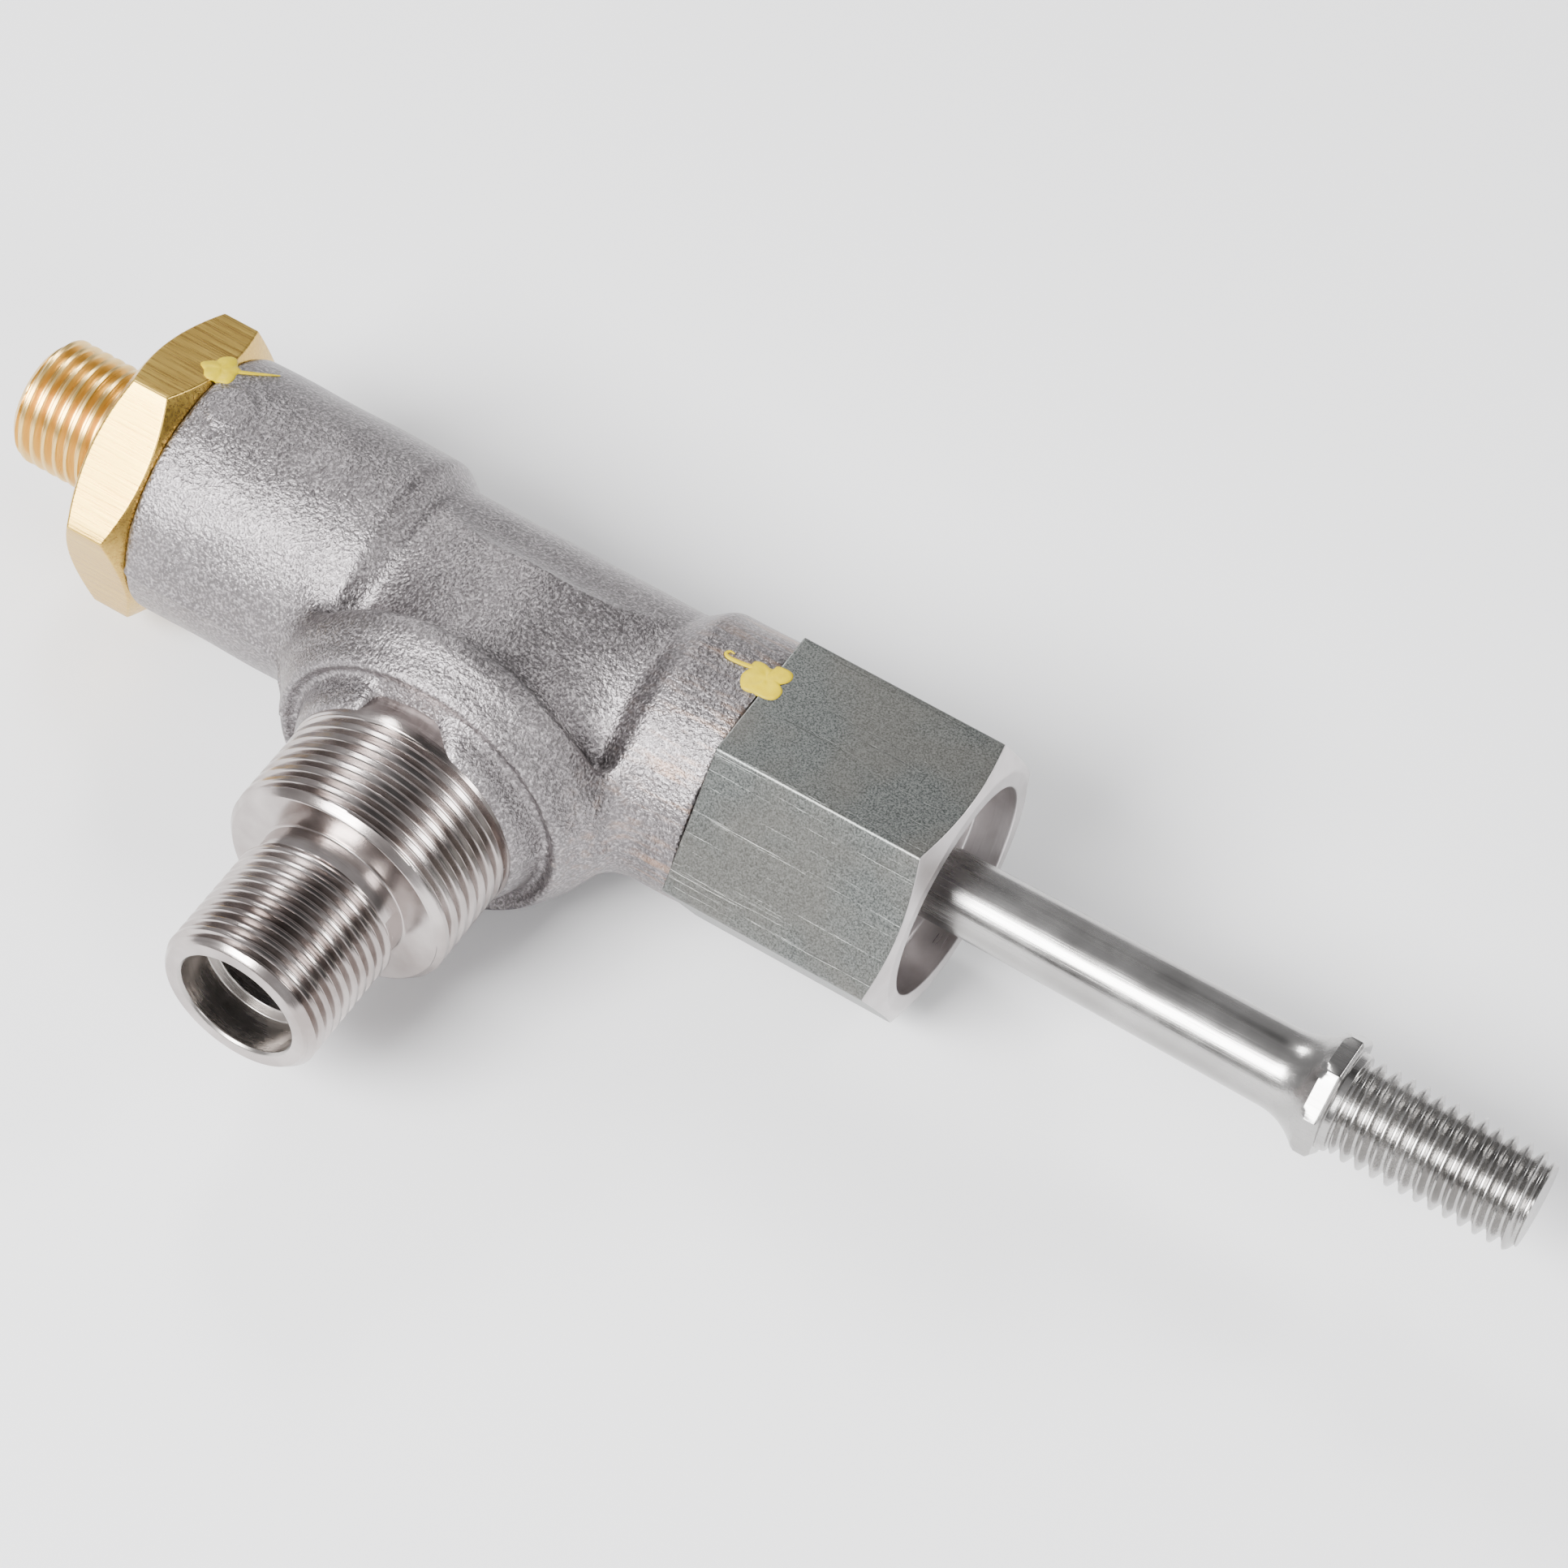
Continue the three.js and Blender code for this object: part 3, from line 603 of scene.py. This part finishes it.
def matt_look(name, dark, light, roughness, grain_scale, grain_height):
    """A dull material, such as rubber or plastic, with a fine grain and slight clouds."""
    look = Look(name)
    grain = look.noise(grain_scale, 3, 0.6)
    cloud = look.noise(300, 2, 0.5)
    share = look.math("ADD", look.math("MULTIPLY", grain, 0.5), look.math("MULTIPLY", cloud, 0.5))
    return look.done(
        Base_Color=look.mix(look.spread(share, 0.35, 0.65), colour(*dark), colour(*light)),
        Metallic=0.0,
        Roughness=look.spread(grain, 0.3, 0.7, *roughness),
        Specular_IOR_Level=0.15,
        Normal=look.bump(grain, 0.4, grain_height),
    )


# Lines that run round the main axis, round the port axis, and along the main axis.
ROUND_MAIN = (4200, 160, 160)
ROUND_PORT = (160, 4200, 160)
ALONG_MAIN = (60, 3400, 3400)

CAST = cast_look()
MACHINED = steel_look("machined_port", (0.3, 0.26, 0.245), (0.52, 0.475, 0.46), ROUND_PORT, (0.15, 0.23))
# The bore's steel is a slightly darker copy of the machined steel: painted shade inside the port.
BORE_STEEL_PAINTED_SHADE = steel_look("bore_steel_painted_shade", (0.3, 0.28, 0.265), (0.46, 0.43, 0.41), ROUND_PORT, (0.2, 0.3))
ZINC = zinc_look()
TURNED_FACE = steel_look("turned_nut_face", (0.42, 0.39, 0.385), (0.6, 0.57, 0.57), ROUND_MAIN, (0.26, 0.38))
POLISHED = steel_look("polished_spindle", (0.34, 0.33, 0.32), (0.44, 0.43, 0.42), ALONG_MAIN, (0.19, 0.27))
STEEL = steel_look("inner_steel", (0.35, 0.34, 0.33), (0.55, 0.54, 0.53), ROUND_MAIN, (0.22, 0.32))
BRASS = brass_look("drawn_brass", (0.5, 0.3, 0.07), (0.74, 0.52, 0.12), (90, 3000, 3000), (0.22, 0.36))
BRASS_THREAD = brass_look(
    "turned_brass", (0.7, 0.46, 0.15), (0.88, 0.63, 0.25), (3600, 140, 140), (0.24, 0.36)
)
BRONZE = brass_look("turned_bronze", (0.34, 0.19, 0.07), (0.5, 0.3, 0.13), (3000, 150, 150), (0.34, 0.46))
RUBBER = matt_look("black_rubber", (0.012, 0.012, 0.013), (0.03, 0.03, 0.031), (0.5, 0.65), 3000, 0.00003)
PTFE = matt_look("white_ptfe", (0.7, 0.69, 0.64), (0.84, 0.83, 0.79), (0.35, 0.5), 2500, 0.00002)
LACQUER = matt_look("yellow_lacquer", (0.5, 0.365, 0.0), (0.62, 0.48, 0.0), (0.34, 0.46), 1400, 0.00008)

# ---------------------------------------------------------------- visible pieces

def settle(piece, body, slot, node):
    """Puts a piece on the body that it rides on and hides the node that it stands for. Its finish, slot, is
    not used.
    """
    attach(piece, body)
    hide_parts(node)
    return piece


def port_nipple():
    """The port's two threads, its mouth and its bore, turned about the port axis."""

    def outline(angle):
        return [
            corner(NIPPLE_START, PORT_BORE_RADIUS),
            corner(NIPPLE_START, NIPPLE_RADIUS),
            corner(NIPPLE_PLAIN_END, NIPPLE_RADIUS),
            *thread_run(thread_points(PORT_THREAD, 22.0, 32.5, angle, 12.0, 11.5, 0.9)),
            corner(PORT_SHOULDER, 11.3, 0.1),
            corner(PORT_SHOULDER, RELIEF_RADIUS, 0.25),
            corner(RELIEF_END, RELIEF_RADIUS),
            *thread_run(thread_points(TIP_THREAD, 35.0, 48.2, angle, 7.7, 7.8, 0.8)),
            corner(PORT_END, 7.6, 0.12),
            # The mouth and the bore take the darker steel, which is painted shade inside the port.
            corner(PORT_END, MOUTH_RADIUS + 0.25, 0.1, 1),
            corner(PORT_END - 0.3, MOUTH_RADIUS, 0.1, 1),
            corner(MOUTH_FLOOR + 0.4, MOUTH_RADIUS, 0.1, 1),
            corner(MOUTH_FLOOR, PORT_BORE_RADIUS, 0.1, 1),
        ]

    columns = even_angles(NIPPLE_COLUMNS)
    piece = turned("valve_body_port", outline, [MACHINED, BORE_STEEL_PAINTED_SHADE], columns, on_port_axis)
    return settle(piece, HOUSING, "cast_steel", "valve_body")


def gland_nut():
    """The hexagonal nut with its recess, and the bores of its bush and wiper ring."""

    def outline(angle):
        side = polygon_radius(angle, **NUT_HEX)
        chamfer_start = NUT_FACE - (side - NUT_FACE_RADIUS) * NUT_CHAMFER_SLOPE
        return [
            corner(NUT_START, 6.5, 0.1),
            corner(NUT_START, 8.4, 0.4),
            corner(NUT_BACK, 8.4),
            corner(NUT_BACK, side, 0.12),
            corner(chamfer_start, side, 0.12, 1),
            corner(NUT_FACE, NUT_FACE_RADIUS, 0.2, 1),
            corner(NUT_FACE, RECESS_RADIUS + 0.05, 0.2, 1),
            corner(RECESS_FLOOR, RECESS_RADIUS, 0.3, 1),
            corner(RECESS_FLOOR, WIPER_POCKET_RADIUS, 0.15, 1),
            corner(40.5, WIPER_POCKET_RADIUS),
            corner(40.5, 4.2),
            corner(38.0, 4.2),
            corner(38.0, GLAND_BUSH_RADIUS),
            corner(19.3, GLAND_BUSH_RADIUS),
            corner(19.3, 6.5),
        ]

    piece = turned("gland_nut_shell", outline, [ZINC, TURNED_FACE], polygon_angles(**NUT_HEX))
    return settle(piece, HOUSING, "zinc_plate", "gland_nut")


def bypass_fitting():
    """The brass hexagon with its skirt inside the body and its threaded tail."""

    def outline(angle):
        side = polygon_radius(angle, **FITTING_HEX)
        face_radius = min(FITTING_FACE_RADIUS, side)
        chamfer = max(side - FITTING_FACE_RADIUS, 0) * EDGE_CHAMFER_SLOPE
        tail = thread_points(BYPASS_THREAD, -56.1, -45.1, angle, 5.7, 5.85, 0.9)
        return [
            corner(FITTING_START, 6.5),
            corner(FITTING_START, FITTING_SKIRT_RADIUS, 0.4),
            corner(FITTING_BACK + 0.02, FITTING_SKIRT_RADIUS),
            corner(FITTING_BACK + 0.02, face_radius, 0.15),
            corner(FITTING_BACK - chamfer, side, 0.15),
            corner(FITTING_FACE + chamfer, side, 0.15),
            corner(FITTING_FACE, face_radius, 0.15),
            corner(FITTING_FACE, 6.0, 0.3),
            corner(-45.0, 5.9, 0.1, 1),
            *reversed(thread_run(tail, 1)),
            corner(FITTING_END, 5.4, 0.15, 1),
            corner(FITTING_END, FITTING_BORE_RADIUS + 0.3, 0.15, 1),
            corner(FITTING_END + 0.3, FITTING_BORE_RADIUS, 0.1, 1),
            corner(-33.0, FITTING_BORE_RADIUS),
            corner(-33.0, 6.5),
        ]

    # The columns start at angle 0, so that the thread's seam falls on one column.
    within_turn = {round(angle % TURN, 9) for angle in polygon_angles(**FITTING_HEX)}
    columns = sorted(within_turn | {0.0}) + [TURN]
    piece = turned("bypass_fitting_shell", outline, [BRASS, BRASS_THREAD], columns)
    return settle(piece, HOUSING, "brass", "bypass_fitting")


def spindle():
    """The stub inside the head, the rod, its flare and octagonal collar, and the threaded end."""

    def outline(angle):
        octagon = polygon_radius(angle, **COLLAR_OCTAGON)
        flare = []
        for step in range(FLARE_STEPS + 1):
            share = step / FLARE_STEPS
            radius = ROD_RADIUS + (FLARE_WIDEST - ROD_RADIUS) * share**FLARE_POWER
            flare.append((FLARE_START + share * FLARE_LENGTH, min(radius, octagon)))
        return [
            corner(STUB_END, 0.0),
            corner(STUB_END, STUB_RADIUS, 0.3),
            corner(STUB_SHOULDER, STUB_RADIUS),
            corner(STUB_SHOULDER, GUIDED_RADIUS, 0.2),
            corner(ROD_START, GUIDED_RADIUS),
            *thread_run(flare),
            corner(COLLAR_END - 0.3, octagon, 0.1),
            corner(COLLAR_END, octagon - 0.35, 0.1),
            corner(COLLAR_END, 4.95, 0.1),
            corner(89.2, 4.9, 0.2),
            corner(89.3, 4.4, 0.1),
            *thread_run(thread_points(SPINDLE_THREAD, 89.5, 108.3, angle, 4.4, 4.35, 0.8)),
            corner(SPINDLE_END, 4.15, 0.1),
            corner(SPINDLE_END, 0.0),
        ]

    piece = turned("spindle_rod", outline, [POLISHED], even_angles(SPINDLE_COLUMNS), looped=False)
    return settle(piece, SPINDLE_SET, "steel", "spindle")


casting = settle(cast_body("valve_body_casting", CAST), HOUSING, "cast_steel", "valve_body")
port_nipple()
nut = gland_nut()
fitting = bypass_fitting()
spindle()

# ---------------------------------------------------------------- sealing paint

def swept(mesh, path, radii, flatten=None):
    """A closed tube round a path, in metres, with a radius at each point; it may be flattened one way."""
    rings = []
    for index, point in enumerate(path):
        ahead = (path[min(index + 1, len(path) - 1)] - path[max(index - 1, 0)]).normalized()
        side = ahead.cross(flatten or Vector((1, 0, 0))).normalized()
        lift = side.cross(ahead).normalized() * (TAIL_FLATNESS if flatten else 1.0)
        ring = []
        for step in range(TUBE_SIDES):
            angle = TURN * step / TUBE_SIDES
            around = math.cos(angle) * side + math.sin(angle) * lift
            ring.append(mesh.verts.new(point + radii[index] * around))
        rings.append(ring)
    for first, second in zip(rings, rings[1:]):
        for step in range(TUBE_SIDES):
            following = (step + 1) % TUBE_SIDES
            mesh.faces.new((first[step], first[following], second[following], second[step]))
    mesh.faces.new(rings[0])
    mesh.faces.new(rings[-1][::-1])


def surface_of(*pieces):
    """The pieces' faces together, for finding where paint lies."""
    mesh = bmesh.new()
    for piece in pieces:
        mesh.from_mesh(piece.data)
    tree = BVHTree.FromBMesh(mesh)
    mesh.free()
    return tree


def paint_layer(under, x, degrees):
    """Gives the way outwards, and a function that finds places over the metal round one spot."""
    outward = Vector((0, math.cos(math.radians(degrees)), math.sin(math.radians(degrees))))
    across = Vector((0, -outward.z, outward.y))
    start_height = 20
    joint_half_gap = 0.35
    typical_drop = 0.007

    def on_surface(along, round_axis, height):
        """A place on the surface beneath, bridged over the joint's gap, and raised by a height."""
        spot = CROSSING + Vector((x + along, 0, 0)) * MM + across * round_axis * MM
        spot += outward * start_height * MM
        drops = []
        for offset in (-joint_half_gap, 0, joint_half_gap):
            drop = under.ray_cast(spot + Vector((offset * MM, 0, 0)), -outward)[3]
            drops.append(drop or typical_drop)
        return spot - outward * (min(drops) - height * MM)

    return outward, on_surface


def paint_body(mesh, on_surface, reach, lobes):
    """The dab itself: a low crown with a wavy outline, closed below by a skirt under the surface."""
    shares = [0.25, 0.5, 0.7, 0.85, 0.94, 1.0]
    top_centre = mesh.verts.new(on_surface(0, 0, PAINT_HEIGHT))
    rings = [[] for _ in shares]
    skirt = []
    for step in range(PAINT_STEPS):
        angle = 360 * step / PAINT_STEPS
        radius = reach + 0.08 * math.sin(math.radians(7 * angle))
        for direction, extra, spread in lobes:
            away = (angle - direction + 180) % 360 - 180
            radius += extra * math.exp(-((away / spread) ** 2))
        sway = Vector((math.cos(math.radians(angle)), math.sin(math.radians(angle))))
        for ring, share in zip(rings, shares):
            ripple = 1 + 0.15 * math.sin(4 * share + 5 * sway.x)
            crown = PAINT_HEIGHT * (1 - share**3) ** 0.5 * ripple
            ring.append(mesh.verts.new(on_surface(*(sway * radius * share), crown + 0.02)))
        skirt.append(mesh.verts.new(on_surface(*(sway * radius), -0.12)))
    layers = [*rings, skirt]
    for step in range(PAINT_STEPS):
        following = (step + 1) % PAINT_STEPS
        mesh.faces.new((top_centre, rings[0][step], rings[0][following]))
        for inner, outer in zip(layers, layers[1:]):
            mesh.faces.new((inner[step], outer[step], outer[following], inner[following]))
    mesh.faces.new(skirt)


def paint_tail(mesh, on_surface, outward, tail, tail_width):
    """A thin run of paint that leaves the dab along the tail's points and gets narrower."""
    places = []
    for first, second in zip(tail, tail[1:]):
        for step in range(TAIL_STEPS):
            share = step / TAIL_STEPS
            places.append(tuple(first[k] + (second[k] - first[k]) * share for k in (0, 1)))
    places.append(tail[-1])
    for _ in range(6):
        inner = [
            tuple((before[k] + 2 * here[k] + after[k]) / 4 for k in (0, 1))
            for before, here, after in zip(places, places[1:], places[2:])
        ]
        places = [places[0], *inner, places[-1]]
    count = len(places)
    width = [tail_width * (1 - 0.75 * (index / count) ** 1.5) * MM for index in range(count)]
    swept(mesh, [on_surface(along, across_it, 0.04) for along, across_it in places], width, outward)


def paint_dab(name, under, x, degrees, reach, lobes, tail, tail_width):
    """A dab of lacquer over a joint: lobes are (direction, extra reach, spread), in degrees and mm.

    Directions turn from +X towards increasing angles about the main axis, and so do the tail's points.
    """
    outward, on_surface = paint_layer(under, x, degrees)
    mesh = bmesh.new()
    paint_body(mesh, on_surface, reach, lobes)
    paint_tail(mesh, on_surface, outward, tail, tail_width)
    piece = finish_mesh(f"{name}_dab", mesh, [LACQUER], 50)
    return settle(piece, HOUSING, "lacquer", name)


paint_dab(
    "sealing_paint_rear",
    surface_of(casting, fitting),
    x=-37.9,
    degrees=75,
    reach=1.65,
    lobes=[
        (-95, 0.9, 30),
        (38, 0.5, 18),
        (95, 0.5, 20),
        (165, 0.35, 22),
        (-43, 0.25, 14),
        (-143, -0.4, 12),
    ],
    tail=[(1.0, -0.6), (2.3, -1.7), (3.5, -3.1), (4.2, -4.1)],
    tail_width=0.26,
)
paint_dab(
    "sealing_paint_front",
    surface_of(casting, nut),
    x=24.6,
    degrees=84,
    reach=1.95,
    lobes=[
        (-52, 0.7, 24),
        (-140, 0.5, 22),
        (135, 0.5, 30),
        (39, 0.5, 20),
        (-11, -0.5, 11),
        (-100, -0.35, 12),
    ],
    tail=[(-1.5, -0.7), (-2.9, -0.4), (-4.3, -0.3), (-4.75, -0.7), (-4.5, -1.2), (-4.0, -1.1)],
    tail_width=0.27,
)

# ---------------------------------------------------------------- inner pieces

def box_section(start, end, inner, outer, edge=0.15):
    """The outline of a plain ring with rounded edges."""
    return [
        corner(start, inner, edge),
        corner(start, outer, edge),
        corner(end, outer, edge),
        corner(end, inner, edge),
    ]


def round_section(x, middle, radius):
    """The outline of an O-ring."""
    points = [TURN * step / 24 for step in range(24)]
    return [corner(x - radius * math.cos(a), middle + radius * math.sin(a)) for a in points]


SEAT_SECTION = [
    corner(-18.9, 5.5, 0.1),
    corner(-18.9, 6.0, 0.1),
    corner(-18.3, 6.4, 0.1),
    corner(-18.3, 8.7, 0.2),
    corner(-17.6, 8.7, 0.1),
    corner(-17.6, 7.1, 0.1),
    corner(-15.7, 7.1, 0.1),
    corner(-15.7, 8.7, 0.1),
    corner(-14.9, 8.7, 0.2),
    corner(-14.9, 5.5, 0.2),
]
HEAD_SECTION = [
    corner(-23.5, 2.7, 0.1),
    corner(-23.5, 6.2, 0.3),
    corner(-20.2, 6.7, 0.1),
    corner(-20.2, 6.3, 0.1),
    corner(-21.1, 6.3, 0.1),
    corner(-21.1, 2.7, 0.1),
]
LIP_SECTION = [
    corner(14.7, 4.05, 0.05),
    corner(14.7, 4.6, 0.1),
    corner(16.6, 5.1, 0.4),
    corner(14.7, 5.7, 0.1),
    corner(14.7, 6.2, 0.1),
    corner(19.0, 6.2, 0.2),
    corner(19.0, 4.05, 0.2),
]
WIPER_SECTION = [
    corner(40.8, 4.05, 0.15),
    corner(40.8, 6.2, 0.15),
    corner(43.0, 6.2, 0.15),
    corner(43.0, 4.9, 0.15),
    corner(43.7, 4.4, 0.1),
    corner(43.7, 4.05, 0.1),
]

# Each inner ring: its node, the body it rides on, its finish, its material and its outline.
INNER_RINGS = [
    ("valve_seat", HOUSING, "steel", STEEL, SEAT_SECTION),
    ("seat_spacer", HOUSING, "steel", STEEL, box_section(-27.7, -19.2, 7.5, 8.7)),
    ("spring_cap", FOLLOWER, "steel", STEEL, box_section(-24.6, -23.8, 4.95, 6.2)),
    ("valve_head", SPINDLE_SET, "steel", STEEL, HEAD_SECTION),
    ("seal_clamp_washer", SPINDLE_SET, "steel", STEEL, box_section(-19.0, -18.1, 2.7, 4.9)),
    ("head_seal", SPINDLE_SET, "ptfe", PTFE, box_section(-20.8, -19.3, 2.7, 6.0)),
    ("inner_guide_bush", HOUSING, "bronze", BRONZE, box_section(6.3, 8.8, 4.05, 6.5)),
    ("gland_bush", HOUSING, "bronze", BRONZE, box_section(19.6, 37.7, 4.05, 5.3)),
    ("inner_backup_ring", HOUSING, "ptfe", PTFE, box_section(9.1, 10.1, 4.05, 6.5)),
    ("outer_backup_ring", HOUSING, "ptfe", PTFE, box_section(13.1, 14.1, 4.05, 6.5)),
    ("lip_seal", HOUSING, "ptfe", PTFE, LIP_SECTION),
    ("wiper_ring", HOUSING, "rubber", RUBBER, WIPER_SECTION),
    ("fitting_o_ring", HOUSING, "rubber", RUBBER, round_section(-35.5, 7.78, 0.62)),
    ("seat_o_ring", HOUSING, "rubber", RUBBER, round_section(-16.65, 8.04, 0.6)),
    ("spindle_o_ring", HOUSING, "rubber", RUBBER, round_section(11.6, 5.27, 1.15)),
    ("gland_o_ring", HOUSING, "rubber", RUBBER, round_section(23.5, 7.7, 0.65)),
]


def inner_ring(node, body, slot, material, section):
    """One ring whose outline is the same all round."""
    piece = turned(f"{node}_ring", lambda angle: section, [material], even_angles(RING_COLUMNS))
    return settle(piece, body, slot, node)


def head_lock_nut():
    """A thin hexagonal nut with chamfered corners."""

    def outline(angle):
        side = polygon_radius(angle, **LOCK_NUT_HEX)
        chamfer = max(side - 4.05, 0) * EDGE_CHAMFER_SLOPE
        return [
            corner(-27.5, 2.7, 0.1),
            corner(-27.5, 3.9, 0.05),
            corner(-27.45 + chamfer, side, 0.05),
            corner(-23.85 - chamfer, side, 0.05),
            corner(-23.8, 3.9, 0.05),
            corner(-23.8, 2.7, 0.1),
        ]

    piece = turned("head_lock_nut_hexagon", outline, [STEEL], polygon_angles(**LOCK_NUT_HEX))
    return settle(piece, SPINDLE_SET, "steel", "head_lock_nut")


def closing_spring():
    """A coil of round wire, closer wound at its ends."""
    length = SPRING_END - SPRING_START
    steps = 240
    path = []
    for step in range(steps + 1):
        share = step / steps
        advance = share - 0.5 * math.sin(TURN * share) / TURN
        along = SPRING_START + length * advance
        path.append(CROSSING + on_main_axis(along, SPRING_RADIUS, share * SPRING_TURNS * TURN) * MM)
    mesh = bmesh.new()
    swept(mesh, path, [WIRE_RADIUS * MM] * len(path))
    coil = finish_mesh("closing_spring_coil", mesh, [STEEL], 40)
    piece = settle(coil, HOUSING, "steel", "closing_spring")
    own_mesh(piece)


for row in INNER_RINGS:
    inner_ring(*row)
head_lock_nut()
closing_spring()

# ---------------------------------------------------------------- studio

def stage_floor():
    """A wide pale floor under the valve."""
    mesh = bmesh.new()
    bmesh.ops.create_grid(mesh, x_segments=1, y_segments=1, size=3.0)
    data = bpy.data.meshes.new("floor")
    mesh.to_mesh(data)
    mesh.free()
    data.materials.append(Look("pale_floor").done(Base_Color=colour(0.92, 0.92, 0.93), Roughness=0.8))
    plane = bpy.data.objects.new("floor", data)
    plane.location = (CROSSING.x + 0.03, 0, cad_box[0].z)
    bpy.context.scene.collection.objects.link(plane)


def softbox(name, towards, size, power):
    """A rectangular area light that faces the valve from a direction."""
    light = bpy.data.lights.new(name, "AREA")
    light.shape = "RECTANGLE"
    light.size, light.size_y = size
    light.energy = power
    lamp = bpy.data.objects.new(name, light)
    aim = CROSSING + Vector((0.02, 0, 0))
    back = Vector(towards).normalized()
    lamp.location = aim + back * SOFTBOX_DISTANCE
    lamp.rotation_mode = "QUATERNION"
    lamp.rotation_quaternion = back.to_track_quat("Z", "Y")
    bpy.context.scene.collection.objects.link(lamp)


def studio_world():
    """A grey room with darker corners, which show as dark bands in the bright metal."""
    room = bpy.data.worlds.new("studio")
    room.use_nodes = True
    nodes = room.node_tree.nodes
    link = room.node_tree.links.new
    direction = nodes.new("ShaderNodeTexCoord").outputs["Generated"]
    nodes["Background"].inputs["Color"].default_value = (0.95, 0.95, 0.97, 1)
    light = nodes["Background"].inputs["Strength"]
    level = None
    for towards, start, full, depth in DARK_CORNERS:
        dot = nodes.new("ShaderNodeVectorMath")
        dot.operation = "DOT_PRODUCT"
        link(direction, dot.inputs[0])
        dot.inputs[1].default_value = Vector(towards).normalized()
        fade = nodes.new("ShaderNodeMapRange")
        fade.interpolation_type = "SMOOTHSTEP"
        fade.inputs["From Min"].default_value = start
        fade.inputs["From Max"].default_value = full
        fade.inputs["To Min"].default_value = ROOM_LIGHT if level is None else 1
        fade.inputs["To Max"].default_value = fade.inputs["To Min"].default_value * depth
        link(dot.outputs["Value"], fade.inputs["Value"])
        product = fade.outputs["Result"]
        if level is not None:
            times = nodes.new("ShaderNodeMath")
            times.operation = "MULTIPLY"
            link(level, times.inputs[0])
            link(product, times.inputs[1])
            product = times.outputs[0]
        level = product
    link(level, light)
    bpy.context.scene.world = room


def set_camera():
    """A camera at the calibrated place and direction."""
    data = bpy.data.cameras.new("camera")
    data.lens = CAMERA_LENS
    data.sensor_width = 36
    camera = bpy.data.objects.new("camera", data)
    back = CAMERA_BACK.normalized()
    right = (CAMERA_RIGHT - CAMERA_RIGHT.dot(back) * back).normalized()
    up = back.cross(right)
    turn = Matrix((right, up, back)).transposed().to_4x4()
    camera.matrix_world = Matrix.Translation(CROSSING + CAMERA_PLACE) @ turn
    bpy.context.scene.collection.objects.link(camera)
    bpy.context.scene.camera = camera


stage_floor()
for row in SOFTBOXES:
    softbox(*row)
studio_world()
set_camera()
